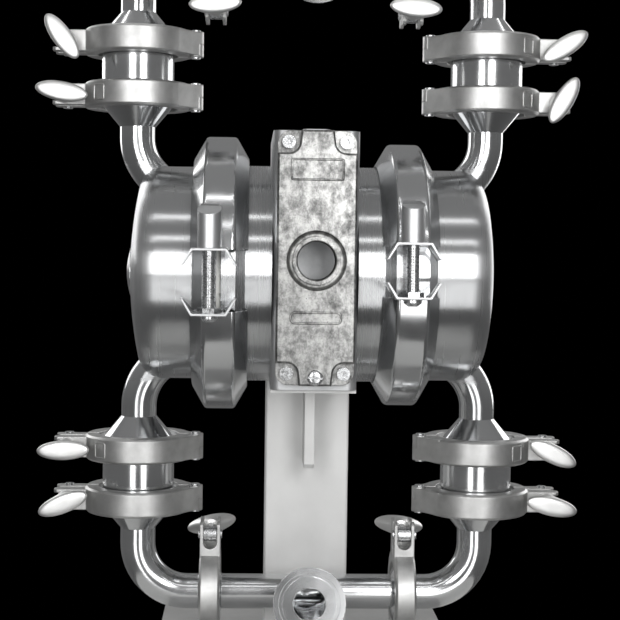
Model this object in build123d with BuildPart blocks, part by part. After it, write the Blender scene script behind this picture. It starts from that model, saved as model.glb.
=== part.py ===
# Air operated double diaphragm pump, hygienic pattern, on its stand.
# Millimetres. X runs along the pump axis, the front faces -Y, +Z is up.
# The origin is on the underside of the base plate, straight below the pump axis.
import os
from math import acos, asin, atan2, cos, degrees, radians, sin, sqrt, tan

from build123d import *

os.makedirs("parts", exist_ok=True)

# Clearances
fit_gap = 0.05          # between pieces that are fitted into each other
seat_gap = 0.3          # between a moving piece and what it stops against
formed_gap = 0.15       # between formed clamp walls and the flanges they pull together

# Overall layout
discharge_column_x = 125.0   # upper valve columns, from the middle of the pump
suction_column_x = 122.5     # lower valve columns
inner_joint = 125.0     # joint between chamber and valve housing, above or below the axis
manifold_height = 231.2      # manifold pipes above and below the axis
manifold_clearance = 53.8    # lower manifold pipe above the underside of the base plate
axis_height = manifold_height + manifold_clearance   # pump axis above that underside
manifold_joint_x = 70.0      # clamp joints of the manifold pipes

# Tube and ferrule sizes of the wetted pipework (25 mm tube, 51 mm housings)
tube_radius = 12.5
tube_wall = 1.2
housing_radius = 25.5
housing_wall = 1.6
housing_length = 35.6   # between the sealing faces of a valve housing
housing_ferrule_radius = 32.0
pipe_ferrule_radius = 25.25
ferrule_rim = 2.8       # thickness of a ferrule at its rim
ferrule_slope = radians(20)
gasket_thickness = 2.0
gasket_lip = 1.4        # the housing gasket and ferrule reach this far into the bore
cone_length = 15.5      # reducing cone between housing ferrule and tube
chamber_bend_radius = 38.0
chamber_bend_turn = radians(45)
chamber_bend_start = 96.0    # where the chamber elbows leave the vertical
manifold_bend_radius = 36.0
tee_branch_length = 57.0
port_groove_radius = 20.1    # gasket groove in a port's sealing face
port_groove_width = 2.4
port_groove_depth = 0.8
suction_tee_tilt = 5.0       # degrees that the suction port looks up
discharge_tee_tilt = 22.0    # degrees that the discharge port looks down

# Centre block with its covers
block_width = 58.0
block_front = 75.0      # front face, towards -Y
block_back = 62.0
block_top = 97.0
block_bottom = 76.6
block_corner = 7.0
cover_gasket_thickness = 1.0
cover_width = 52.5
cover_height = 168.5
cover_centre = 12.0     # above the axis
cover_base_thickness = 7.0
cover_panel_thickness = 7.0
cover_corner = 8.5
cover_neck_width = 21.5
cover_screw_dx = 38.0
cover_screw_dz = 152.8
cover_screw_radius = 2.5
cover_screw_head_radius = 4.4
cover_screw_head_height = 5.0
cover_screw_length = 18.0
hex_socket = 2.2        # socket radius of the cover screws
exhaust_radius = 13.2
exhaust_height = 10.5   # port centre above the axis
exhaust_ring_radius = 16.1
exhaust_groove_radius = 19.7
exhaust_ring_height = 2.0
exhaust_pocket = (34.0, 112.0, 26.0)   # width, height and depth behind the cover
plug_radius = 5.2
plug_height = 3.0
plug_drop = 78.6        # plug below the centre of the cover
block_lug = (18.0, 12.0, 1.6)          # casting lug on top of the block

# Air valve on the back of the block
valve_body_width = 52.0
valve_body_height = 120.0
valve_body_depth = 40.0
valve_body_centre = 12.0     # above the axis
valve_gasket_thickness = 1.0
valve_bore_radius = 11.0
valve_cap_thickness = 8.0
valve_spool_length = 108.0
valve_spool_travel = 10.0
valve_spool_waist = 7.0
valve_screw_radius = 3.0
valve_screw_dx = 38.0
valve_screw_dy = 26.0
air_inlet_radius = 7.6
air_inlet_depth = 11.0
air_inlet_boss = (12.5, 4.0)     # radius and height of the boss round the inlet
air_passage_radius = 5.0     # from the inlet on to the spool bore

# Shaft, pilot valve and diaphragms
shaft_radius = 10.0
shaft_stud_radius = 6.0
shaft_stroke = 11.0     # each way from the middle
bushing_radius = 14.0
bushing_length = 24.0
pilot_height = 34.0     # pilot valve above the pump axis
pilot_radius = 4.0
pilot_waist = 2.8
pilot_sleeve_radius = 8.0
pilot_travel = 3.0
band_x = 64.3           # plane of the diaphragm and its band clamp
diaphragm_thickness = 3.0
diaphragm_radius = 86.0
convolution_inner = 50.0
convolution_outer = 69.0
convolution_depth = 6.0
inner_piston_radius = 48.0
inner_piston_thickness = 8.0
outer_piston_radius = 46.0
outer_piston_rim = 3.0
outer_piston_height = 12.0
stud_depth = 7.0        # how deep the shaft stud reaches into the outer piston

# Chambers
drum_radius = 77.0
drum_wall = 4.0
drum_end_wall = 6.0
drum_screw_circle = 46.0
drum_screw_radius = 3.0
drum_screw_head_radius = 5.0
drum_screw_head_height = 6.0
drum_screw_count = 6
drum_screw_start = 0.0       # degrees, angle of the first screw
dome_radius = 75.7
dome_wall = 2.5
dome_straight_end = 106.0    # where the cylinder turns into the knuckle
dome_knuckle = 16.0
dome_end = 128.6
boss_radius = 18.5
boss_end = 131.8
boss_crown = 3.2        # rise of the crowned boss over its rim
flange_radius = 88.0

# Band clamps round the chamber flanges
band_sheet = 2.0
band_rim_radius = 93.5
band_rim_half = 10.3
band_base_radius = 77.8
band_wall_angle = radians(30)
band_gap = 33.6         # between the two halves of a fully tightened band
band_lift = {"left": 3.6, "right": 0.2}    # each half stands off by this
band_clock = {"left": -2.2, "right": 2.6}  # degrees each band's front bolt is turned up
saddle_shift = {"left": -6.0, "right": -1.5}   # bolts beside the middle of each band
saddle_flat_half = 10.5
saddle_leg = (6.0, 9.5)      # how far each leg spreads and drops
saddle_reach = 14.5     # how far a saddle stands out from the rim
saddle_sheet = 1.5
band_bolt_y = 98.0      # bolt axis from the pump axis
band_bolt_radius = 4.0
band_bolt_head_radius = 6.0
band_bolt_head_height = 4.5
band_nut_across = 13.0
band_nut_height = 3.2
barrel_radius = 7.8
barrel_length = 30.0
barrel_slant = radians(24)
barrel_bore_depth = 22.0

# Valve seats and balls
ball_radius = 14.0
ball_lift = 6.5
seat_thickness = 4.0
seat_bore_radius = 11.8     # the ball rests on the upper edge of this bore
guide_count = 4
guide_gap = 0.6         # between a guide rib and the ball
guide_thickness = 2.4
stop_reach = 8.0        # inner radius of the stop fingers
stop_height = 2.4

# Hinged clamps: housing size and pipe size
clamp_lip = 3.6         # how far the clamp grips down over a ferrule
clamp_wall = 5.5        # metal outside the ferrule rim
clamp_split = 1.5       # half the gap between the two clamp halves
clamp_edge = 1.5        # chamfer along the edges of a clamp ring
ear_edge = 2.0          # chamfer round the end of an ear
housing_clamp_width = 17.8
housing_clamp_pin = 41.0     # hinge pin from the pipe axis
housing_clamp_bolt = 50.4    # swing bolt from the pipe axis
housing_clamp_tip = 59.0
pipe_clamp_width = 14.8
pipe_clamp_pin = 34.4
pipe_clamp_bolt = 43.6
pipe_clamp_tip = 52.5
knuckle_radius = 5.4
hinge_pin_radius = 2.4
pin_head_radius = 3.2
pin_head_height = 1.2
ear_gap = 3.2           # from the split plane to an ear
ear_thickness = 9.5
slot_width = 9.7
prong_thickness = 2.4
swing_bolt_radius = 3.9
swing_eye_radius = 5.3
swing_eye_thickness = 9.0
swing_bolt_reach = 24.0      # from the split plane to the end of a swing bolt
nut_hub_radius = 6.8
nut_hub_height = 3.0
nut_flare_height = 12.0
nut_face_height = 4.0
nut_half_span = 18.3
nut_half_width = 6.8
nut_bore_depth = 14.0

# Stand
base_size = (220.0, 240.0, 8.0)
base_centre_y = 25.0
base_corner = 6.0
base_bolt_edge = 15.0   # anchor holes from the edges of the base plate
base_bolt_radius = 4.5
column_width = 61.0
column_depth = 60.0
column_wall = 3.0
column_corner = 1.5
column_front_y = 18.0
shelf_thickness = 2.5
shelf_front_y = -68.0
rib_thickness = 7.0
rib_front_y = -20.0
rib_height = 59.2
rib_corner = 3.2        # slanted corner at the rib's front foot
stand_screw_radius = 4.0
stand_screw_dx = 36.0
stand_screw_front = -28.0
stand_screw_back = 6.0
stand_screw_head_radius = 5.3
stand_screw_head_height = 3.3
stand_screw_length = 22.0

# Places that follow from the sizes above
tube_bore = tube_radius - tube_wall
housing_bore = housing_radius - housing_wall
ferrule_bore = housing_bore - gasket_lip
half_gasket = gasket_thickness / 2
outer_joint = inner_joint + housing_length + gasket_thickness
half_block = block_width / 2
half_diaphragm = diaphragm_thickness / 2
air_face = band_x - half_diaphragm
liquid_face = band_x + half_diaphragm
drum_inside = half_block + drum_end_wall
inner_piston_face = air_face - inner_piston_thickness
pump_axis = Axis((0, 0, axis_height), (1, 0, 0))
front_view = Plane((0, 0, axis_height), x_dir=(1, 0, 0), z_dir=(0, -1, 0))
side_view = Plane((0, 0, axis_height), x_dir=(0, 1, 0), z_dir=(1, 0, 0))


def band_inner_half(radius):
    """Half the width inside a band clamp at a radius from the pump axis."""
    slope = (band_rim_radius - radius) * tan(band_wall_angle)
    return band_rim_half + slope - band_sheet / cos(band_wall_angle)


def flange_half(radius):
    """Half the width of the pair of chamber flanges at a radius."""
    return band_inner_half(radius) - formed_gap


def section_through(face):
    """Sketch plane along a piece's axis: x is the radius, y runs along the face's normal."""
    return Plane(face.origin, x_dir=face.x_dir, z_dir=-face.y_dir)


def turned(face, outline):
    """Add a turned solid whose outline is given as radius and distance from a face."""
    with BuildSketch(section_through(face)) as section:
        with BuildLine():
            Polyline(*outline, close=True)
        make_face()
    revolve(section.sketch, axis=Axis(face.origin, face.z_dir))


def ferrule(face, rim_radius, neck_radius, bore_radius, neck_length):
    """Add a clamp ferrule whose sealing face is the given plane."""
    slope_end = ferrule_rim + (rim_radius - neck_radius) * tan(ferrule_slope)
    turned(face, [
        (bore_radius, 0),
        (rim_radius, 0),
        (rim_radius, ferrule_rim),
        (neck_radius, slope_end),
        (neck_radius, neck_length),
        (bore_radius, neck_length),
    ])


# Length of a reducer from its sealing face to the start of the plain tube
cone_start = ferrule_rim + (housing_ferrule_radius - housing_radius) * tan(ferrule_slope)
reducer_length = cone_start + cone_length


def reducer(face):
    """Add a housing ferrule with the cone that brings it down to the tube."""
    turned(face, [
        (ferrule_bore, 0),
        (housing_ferrule_radius, 0),
        (housing_ferrule_radius, ferrule_rim),
        (housing_radius, cone_start),
        (tube_radius, reducer_length),
        (tube_bore, reducer_length),
        (ferrule_bore, cone_start - housing_wall),
    ])


def tube_along(path, radius, mode=Mode.ADD):
    """Sweep a round bar of the given radius along a path."""
    with BuildSketch(Plane(path @ 0, z_dir=path % 0)) as section:
        Circle(radius)
    sweep(section.sketch, path=path, mode=mode)


# Centre block: an aluminium casting that carries the shaft, the pilot valve
# and the air passages, with an open exhaust pocket behind the front cover.
with BuildPart() as center_block:
    with BuildSketch(Plane.XY.offset(axis_height - block_bottom)):
        with Locations((0, (block_back - block_front) / 2)):
            RectangleRounded(block_width, block_front + block_back, block_corner)
    extrude(amount=block_bottom + block_top)
    with BuildSketch(Plane.XY.offset(axis_height + block_top)):
        with Locations((0, block_lug[1] / 2 - block_front + block_corner)):
            RectangleRounded(block_lug[0], block_lug[1], block_lug[1] / 4)
    extrude(amount=block_lug[2])
    with BuildSketch(front_view.offset(block_front)):
        with Locations((0, cover_centre)):
            RectangleRounded(exhaust_pocket[0], exhaust_pocket[1], block_corner)
    extrude(amount=-exhaust_pocket[2], mode=Mode.SUBTRACT)
    with BuildSketch(side_view.offset(half_block)):
        Circle(bushing_radius + fit_gap)
        with Locations((0, pilot_height)):
            Circle(pilot_sleeve_radius + fit_gap)
    extrude(amount=-block_width, mode=Mode.SUBTRACT)
    for side in (-1, 1):
        with BuildSketch(side_view.offset(side * half_block)):
            with PolarLocations(drum_screw_circle, drum_screw_count, drum_screw_start):
                Circle(drum_screw_radius + fit_gap)
        extrude(amount=-side * (drum_screw_head_height + fit_gap), mode=Mode.SUBTRACT)
    with BuildSketch(front_view.offset(block_front)):
        with Locations((0, cover_centre)):
            with GridLocations(cover_screw_dx, cover_screw_dz, 2, 2):
                Circle(cover_screw_radius + fit_gap)
    extrude(amount=-cover_screw_length, mode=Mode.SUBTRACT)
    with BuildSketch(front_view.offset(-block_back)):
        with Locations((0, valve_body_centre)):
            Rectangle(valve_bore_radius, valve_body_height / 2)
    extrude(amount=block_corner, mode=Mode.SUBTRACT)
    with BuildSketch(Plane.XY.offset(axis_height - block_bottom)):
        with GridLocations(stand_screw_dx, 0, 2, 1):
            with Locations((0, stand_screw_front), (0, stand_screw_back)):
                Circle(stand_screw_radius + fit_gap)
    extrude(amount=stand_screw_length - shelf_thickness + fit_gap, mode=Mode.SUBTRACT)
center_block.part.label = "center_block"
export_step(center_block.part, "parts/center_block.step")

# Front cover: a cast plate with a raised panel between four screw pads
# and a threaded exhaust port inside a ring.
cover_back_y = block_front + cover_gasket_thickness
cover_pad_y = cover_back_y + cover_base_thickness
cover_front_y = cover_pad_y + cover_panel_thickness
half_cover = cover_width / 2
half_cover_height = cover_height / 2
half_neck = cover_neck_width / 2


def cover_panel_corner(x_sign, z_sign):
    """Edge of the raised panel round one screw pad: in from the side, round the head, out."""
    screw = (cover_screw_dx / 2, cover_screw_dz / 2)
    turn = screw[0] - half_neck - 1
    points = [
        (half_cover, screw[1] - turn), (screw[0], screw[1] - turn),
        (screw[0] - turn * sqrt(0.5), screw[1] - turn * sqrt(0.5)),
        (screw[0] - turn, screw[1]), (half_neck, half_cover_height),
    ]
    side_end, arc_start, arc_middle, arc_end, top_end = [
        (x_sign * x, z_sign * z) for x, z in points
    ]
    Line(side_end, arc_start)
    ThreePointArc(arc_start, arc_middle, arc_end)
    Line(arc_end, top_end)


cover_side = cover_screw_dz / 2 - (cover_screw_dx / 2 - half_neck - 1)


with BuildPart() as front_cover:
    with BuildSketch(front_view.offset(cover_back_y)):
        with Locations((0, cover_centre)):
            RectangleRounded(cover_width, cover_height, cover_corner)
    extrude(amount=cover_base_thickness)
    panel_view = Plane(
        (0, -cover_pad_y, axis_height + cover_centre), x_dir=(1, 0, 0), z_dir=(0, -1, 0)
    )
    with BuildSketch(panel_view):
        with BuildLine():
            cover_panel_corner(1, 1)
            Line((half_neck, half_cover_height), (-half_neck, half_cover_height))
            cover_panel_corner(-1, 1)
            Line((-half_cover, cover_side), (-half_cover, -cover_side))
            cover_panel_corner(-1, -1)
            Line((-half_neck, -half_cover_height), (half_neck, -half_cover_height))
            cover_panel_corner(1, -1)
            Line((half_cover, -cover_side), (half_cover, cover_side))
        make_face()
    extrude(amount=cover_panel_thickness)
    chamfer(front_cover.faces().sort_by(Axis.Y)[0].edges(), 1.2)
    with BuildSketch(front_view.offset(cover_front_y)):
        with Locations((0, exhaust_height)):
            Circle(exhaust_groove_radius)
            Circle(exhaust_ring_radius, mode=Mode.SUBTRACT)
    extrude(amount=-1.0, mode=Mode.SUBTRACT)
    with BuildSketch(front_view.offset(cover_front_y)):
        with Locations((0, exhaust_height)):
            Circle(exhaust_ring_radius)
    extrude(amount=exhaust_ring_height)
    with BuildSketch(front_view.offset(cover_front_y + exhaust_ring_height)):
        with Locations((0, exhaust_height)):
            Circle(exhaust_radius)
    extrude(amount=-(cover_front_y + exhaust_ring_height - cover_back_y), mode=Mode.SUBTRACT)
    with BuildSketch(front_view.offset(cover_pad_y)):
        with Locations((0, cover_centre)):
            with GridLocations(cover_screw_dx, cover_screw_dz, 2, 2):
                Circle(cover_screw_radius + fit_gap)
    extrude(amount=-cover_base_thickness, mode=Mode.SUBTRACT)
front_cover.part.label = "front_cover"
export_step(front_cover.part, "parts/front_cover.step")

# Flat gasket between cover and block, open over the exhaust pocket.
with BuildPart() as front_cover_gasket:
    with BuildSketch(front_view.offset(block_front)):
        with Locations((0, cover_centre)):
            RectangleRounded(cover_width, cover_height, cover_corner)
            RectangleRounded(exhaust_pocket[0], exhaust_pocket[1], block_corner,
                             mode=Mode.SUBTRACT)
            with GridLocations(cover_screw_dx, cover_screw_dz, 2, 2):
                Circle(cover_screw_radius + fit_gap, mode=Mode.SUBTRACT)
    extrude(amount=cover_gasket_thickness)
front_cover_gasket.part.label = "front_cover_gasket"
export_step(front_cover_gasket.part, "parts/front_cover_gasket.step")

# Four socket head cap screws on the corner pads.
with BuildPart() as front_cover_screws:
    screw_reach = cover_base_thickness + cover_gasket_thickness + cover_screw_length - 1
    with BuildSketch(front_view.offset(cover_pad_y)):
        with Locations((0, cover_centre)):
            with GridLocations(cover_screw_dx, cover_screw_dz, 2, 2):
                Circle(cover_screw_radius)
    extrude(amount=-screw_reach)
    with BuildSketch(front_view.offset(cover_pad_y)):
        with Locations((0, cover_centre)):
            with GridLocations(cover_screw_dx, cover_screw_dz, 2, 2):
                Circle(cover_screw_head_radius)
    extrude(amount=cover_screw_head_height)
    with BuildSketch(front_view.offset(cover_pad_y + cover_screw_head_height)):
        with Locations((0, cover_centre)):
            with GridLocations(cover_screw_dx, cover_screw_dz, 2, 2):
                RegularPolygon(hex_socket, 6)
    extrude(amount=-cover_screw_head_height / 2, mode=Mode.SUBTRACT)
front_cover_screws.part.label = "front_cover_screws"
export_step(front_cover_screws.part, "parts/front_cover_screws.step")

# Pan head plug at the foot of the cover.
with BuildPart() as front_cover_plug:
    with BuildSketch(front_view.offset(cover_front_y)):
        with Locations((0, cover_centre - plug_drop)):
            Circle(plug_radius)
    extrude(amount=plug_height)
    chamfer(front_cover_plug.faces().sort_by(Axis.Y)[0].edges(), plug_height / 3)
front_cover_plug.part.label = "front_cover_plug"
export_step(front_cover_plug.part, "parts/front_cover_plug.step")

# Air valve body on the back of the block, bored from top to bottom for its spool.
valve_front_y = block_back + valve_gasket_thickness
valve_axis_y = valve_front_y + valve_body_depth / 2
valve_bottom = axis_height + valve_body_centre - valve_body_height / 2
valve_top = valve_bottom + valve_body_height
with BuildPart() as air_valve_body:
    with BuildSketch(Plane.XY.offset(valve_bottom)):
        with Locations((0, valve_axis_y)):
            RectangleRounded(valve_body_width, valve_body_depth, block_corner)
    extrude(amount=valve_body_height)
    with BuildSketch(Plane.XY.offset(valve_bottom)):
        with Locations((0, valve_axis_y)):
            Circle(valve_bore_radius)
    extrude(amount=valve_body_height, mode=Mode.SUBTRACT)
    for z in (valve_bottom, valve_top):
        with BuildSketch(Plane.XY.offset(z)):
            with Locations((0, valve_axis_y)):
                with GridLocations(valve_screw_dx, valve_screw_dy, 2, 2):
                    Circle(valve_screw_radius + fit_gap)
        extrude(amount=block_corner * (1 if z == valve_bottom else -1) * 2,
                mode=Mode.SUBTRACT)
    inlet_face = front_view.offset(-(valve_front_y + valve_body_depth + air_inlet_boss[1]))
    with BuildSketch(inlet_face):
        with Locations((0, valve_body_centre)):
            Circle(air_inlet_boss[0])
    extrude(amount=2 * air_inlet_boss[1])
    for radius, depth in ((air_inlet_radius, air_inlet_depth),
                          (air_passage_radius, air_inlet_boss[1] + valve_body_depth / 2)):
        with BuildSketch(inlet_face):
            with Locations((0, valve_body_centre)):
                Circle(radius)
        extrude(amount=depth, mode=Mode.SUBTRACT)
air_valve_body.part.label = "air_valve_body"
export_step(air_valve_body.part, "parts/air_valve_body.step")

# Gasket between air valve and block.
with BuildPart() as air_valve_gasket:
    with BuildSketch(front_view.offset(-valve_front_y)):
        with Locations((0, valve_body_centre)):
            Rectangle(valve_body_width - 2 * block_corner, valve_body_height - 2 * block_corner)
            Rectangle(valve_bore_radius, valve_body_height / 2, mode=Mode.SUBTRACT)
    extrude(amount=valve_gasket_thickness)
air_valve_gasket.part.label = "air_valve_gasket"
export_step(air_valve_gasket.part, "parts/air_valve_gasket.step")

# End caps of the air valve, one at each end of the spool bore.
with BuildPart() as air_valve_caps:
    for start in (valve_bottom - valve_cap_thickness, valve_top):
        with BuildSketch(Plane.XY.offset(start)):
            with Locations((0, valve_axis_y)):
                RectangleRounded(valve_body_width, valve_body_depth, block_corner)
                with GridLocations(valve_screw_dx, valve_screw_dy, 2, 2):
                    Circle(valve_screw_radius + fit_gap, mode=Mode.SUBTRACT)
        extrude(amount=valve_cap_thickness)
air_valve_caps.part.label = "air_valve_caps"
export_step(air_valve_caps.part, "parts/air_valve_caps.step")

# Cap screws of the air valve, four at each end.
with BuildPart() as air_valve_screws:
    for sign, face in ((-1, valve_bottom - valve_cap_thickness), (1, valve_top + valve_cap_thickness)):
        with BuildSketch(Plane.XY.offset(face)):
            with Locations((0, valve_axis_y)):
                with GridLocations(valve_screw_dx, valve_screw_dy, 2, 2):
                    Circle(valve_screw_radius)
        extrude(amount=-sign * (valve_cap_thickness + block_corner))
        with BuildSketch(Plane.XY.offset(face)):
            with Locations((0, valve_axis_y)):
                with GridLocations(valve_screw_dx, valve_screw_dy, 2, 2):
                    Circle(cover_screw_head_radius)
        extrude(amount=sign * cover_screw_head_height)
air_valve_screws.part.label = "air_valve_screws"
export_step(air_valve_screws.part, "parts/air_valve_screws.step")

# Main air valve spool: three lands on a waist, resting at the low end of its bore.
land = valve_spool_length / 7
with BuildPart() as air_valve_spool:
    spool_foot = Plane((0, valve_axis_y, valve_bottom + seat_gap))
    land_radius = valve_bore_radius - fit_gap
    turned(spool_foot, [
        (0, 0),
        (land_radius, 0),
        (land_radius, land),
        (valve_spool_waist, land),
        (valve_spool_waist, 3 * land),
        (land_radius, 3 * land),
        (land_radius, 4 * land),
        (valve_spool_waist, 4 * land),
        (valve_spool_waist, 6 * land),
        (land_radius, 6 * land),
        (land_radius, valve_spool_length),
        (0, valve_spool_length),
    ])
air_valve_spool.part.label = "air_valve_spool"
export_step(air_valve_spool.part, "parts/air_valve_spool.step")

# Pilot sleeve through the block, and the pilot spool that the pistons push.
pilot_plane = Plane((-drum_inside, 0, axis_height + pilot_height), x_dir=(0, 1, 0), z_dir=(1, 0, 0))
with BuildPart() as pilot_sleeve:
    with BuildSketch(pilot_plane):
        Circle(pilot_sleeve_radius)
        Circle(pilot_radius + fit_gap, mode=Mode.SUBTRACT)
    extrude(amount=2 * drum_inside)
pilot_sleeve.part.label = "pilot_sleeve"
export_step(pilot_sleeve.part, "parts/pilot_sleeve.step")

pilot_half = inner_piston_face - shaft_stroke + pilot_travel - seat_gap
with BuildPart() as pilot_spool:
    spool_end = Plane((-pilot_half, 0, axis_height + pilot_height), x_dir=(0, 1, 0), z_dir=(1, 0, 0))
    neck = pilot_half / 4
    turned(spool_end, [
        (0, 0),
        (pilot_radius, 0),
        (pilot_radius, 2 * neck),
        (pilot_waist, 2 * neck),
        (pilot_waist, 3 * neck),
        (pilot_radius, 3 * neck),
        (pilot_radius, 5 * neck),
        (pilot_waist, 5 * neck),
        (pilot_waist, 6 * neck),
        (pilot_radius, 6 * neck),
        (pilot_radius, 8 * neck),
        (0, 8 * neck),
    ])
pilot_spool.part.label = "pilot_spool"
export_step(pilot_spool.part, "parts/pilot_spool.step")

# Shaft bushings, pressed into the block and centring the drums.
with BuildPart() as shaft_bushings:
    for side in (-1, 1):
        with BuildSketch(side_view.offset(side * drum_inside)):
            Circle(bushing_radius)
            Circle(shaft_radius + fit_gap, mode=Mode.SUBTRACT)
        extrude(amount=-side * bushing_length)
shaft_bushings.part.label = "shaft_bushings"
export_step(shaft_bushings.part, "parts/shaft_bushings.step")

# Shaft with a stud at each end that carries the two pistons.
stud_end = liquid_face + stud_depth
with BuildPart() as shaft:
    with BuildSketch(side_view.offset(-inner_piston_face)):
        Circle(shaft_radius)
    extrude(amount=2 * inner_piston_face)
    with BuildSketch(side_view.offset(-stud_end)):
        Circle(shaft_stud_radius)
    extrude(amount=2 * stud_end)
shaft.part.label = "shaft"
export_step(shaft.part, "parts/shaft.step")

# Air side pistons: flat plates with a rounded rim.
right_face = Plane((inner_piston_face, 0, axis_height), x_dir=(0, 0, 1), z_dir=(1, 0, 0))
with BuildPart() as inner_pistons:
    turned(right_face, [
        (shaft_stud_radius + fit_gap, 0),
        (inner_piston_radius * 0.7, 0),
        (inner_piston_radius, inner_piston_thickness / 2),
        (inner_piston_radius, inner_piston_thickness),
        (shaft_stud_radius + fit_gap, inner_piston_thickness),
    ])
    mirror(about=Plane.YZ)
inner_pistons.part.label = "inner_pistons"
export_step(inner_pistons.part, "parts/inner_pistons.step")

# Liquid side pistons: smooth domed plates with a blind bore for the stud.
right_outer = Plane((liquid_face, 0, axis_height), x_dir=(0, 0, 1), z_dir=(1, 0, 0))
crown_rise = outer_piston_height - outer_piston_rim
crown_radius = (outer_piston_radius ** 2 + crown_rise ** 2) / (2 * crown_rise)
crown_turn = degrees(atan2(outer_piston_radius, crown_radius - crown_rise))
with BuildPart() as outer_pistons:
    with BuildSketch(section_through(right_outer)):
        with BuildLine():
            Polyline((0, stud_depth + fit_gap), (shaft_stud_radius + fit_gap, stud_depth + fit_gap),
                     (shaft_stud_radius + fit_gap, 0), (outer_piston_radius, 0),
                     (outer_piston_radius, outer_piston_rim))
            JernArc((0, outer_piston_height), (1, 0), crown_radius, -crown_turn)
            Line((0, outer_piston_height), (0, stud_depth + fit_gap))
        make_face()
    revolve(axis=pump_axis)
    mirror(about=Plane.YZ)
outer_pistons.part.label = "outer_pistons"
export_step(outer_pistons.part, "parts/outer_pistons.step")

# Diaphragms: a flat middle, one rolled convolution and a clamped rim.
convolution_middle = (convolution_inner + convolution_outer) / 2
for name, side in (("left_diaphragm", -1), ("right_diaphragm", 1)):
    with BuildPart() as diaphragm:
        with BuildSketch(front_view):
            with BuildLine():
                air = side * air_face
                wet = side * liquid_face
                roll = side * convolution_depth
                Line((air, shaft_stud_radius + fit_gap), (air, convolution_inner))
                ThreePointArc((air, convolution_inner), (air - roll, convolution_middle),
                              (air, convolution_outer))
                Polyline((air, convolution_outer), (air, diaphragm_radius),
                         (wet, diaphragm_radius), (wet, convolution_outer))
                ThreePointArc((wet, convolution_outer), (wet - roll, convolution_middle),
                              (wet, convolution_inner))
                Polyline((wet, convolution_inner), (wet, shaft_stud_radius + fit_gap),
                         (air, shaft_stud_radius + fit_gap))
            make_face()
        revolve(axis=pump_axis)
    diaphragm.part.label = name
    export_step(diaphragm.part, f"parts/{name}.step")

# Air chambers: drums bolted to the block, with half of the clamped flange pair.
with BuildPart() as right_air_chamber:
    with BuildSketch(front_view):
        with BuildLine():
            Polyline(
                (half_block, bushing_radius + fit_gap),
                (half_block, drum_radius),
                (band_x - flange_half(drum_radius), drum_radius),
                (band_x - flange_half(flange_radius), flange_radius),
                (air_face, flange_radius),
                (air_face, drum_radius - drum_wall),
                (air_face - inner_piston_thickness, drum_radius - drum_wall),
                (drum_inside, drum_radius - 4 * drum_wall),
                (drum_inside, bushing_radius + fit_gap),
                close=True,
            )
        make_face()
    revolve(axis=pump_axis)
    with BuildSketch(side_view.offset(half_block)):
        with PolarLocations(drum_screw_circle, drum_screw_count, drum_screw_start):
            Circle(drum_screw_radius + fit_gap)
        with Locations((0, pilot_height)):
            Circle(pilot_sleeve_radius + fit_gap)
    extrude(amount=drum_end_wall, mode=Mode.SUBTRACT)
right_air_chamber.part.label = "right_air_chamber"
export_step(right_air_chamber.part, "parts/right_air_chamber.step")

with BuildPart() as left_air_chamber:
    mirror(right_air_chamber.part, about=Plane.YZ)
left_air_chamber.part.label = "left_air_chamber"
export_step(left_air_chamber.part, "parts/left_air_chamber.step")

# Screws that hold the drums to the block, heads inside the air space.
with BuildPart() as air_chamber_screws:
    with BuildSketch(side_view.offset(drum_inside)):
        with PolarLocations(drum_screw_circle, drum_screw_count, drum_screw_start):
            Circle(drum_screw_radius)
    extrude(amount=-(drum_end_wall + drum_screw_head_height))
    with BuildSketch(side_view.offset(drum_inside)):
        with PolarLocations(drum_screw_circle, drum_screw_count, drum_screw_start):
            Circle(drum_screw_head_radius)
    extrude(amount=drum_screw_head_height)
    mirror(about=Plane.YZ)
air_chamber_screws.part.label = "air_chamber_screws"
export_step(air_chamber_screws.part, "parts/air_chamber_screws.step")


# Liquid chambers: pressed stainless domes with two welded elbows, each ending
# in a cone and a ferrule for the valve housing.
def dome_line(wall):
    """Draw the dome from the end of its cylinder to its pole, a wall's thickness in."""
    rise = dome_end - dome_straight_end
    centre_radius = dome_radius - dome_knuckle
    crown_radius = (rise ** 2 + centre_radius ** 2 - dome_knuckle ** 2) / (2 * (rise - dome_knuckle))
    meet = degrees(atan2(centre_radius, crown_radius - rise))
    knuckle = JernArc((dome_straight_end, dome_radius - wall), (1, 0), dome_knuckle - wall,
                      -(90 - meet))
    return JernArc(knuckle @ 1, knuckle % 1, crown_radius - wall, -meet)


def chamber_elbow_path(column_x, up):
    """Centre line from the cone's small end to inside the dome, drawn in the front view."""
    start_z = inner_joint - half_gasket - reducer_length
    knee_z = chamber_bend_start - chamber_bend_radius * tan(chamber_bend_turn / 2)
    run = dome_radius * 0.6
    tip = (column_x - run * sin(chamber_bend_turn), knee_z - run * cos(chamber_bend_turn))
    points = [(column_x, start_z), (column_x, knee_z), tip]
    world = [(x, 0, axis_height + up * z) for x, z in points]
    return FilletPolyline(*world, radius=chamber_bend_radius)


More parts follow.
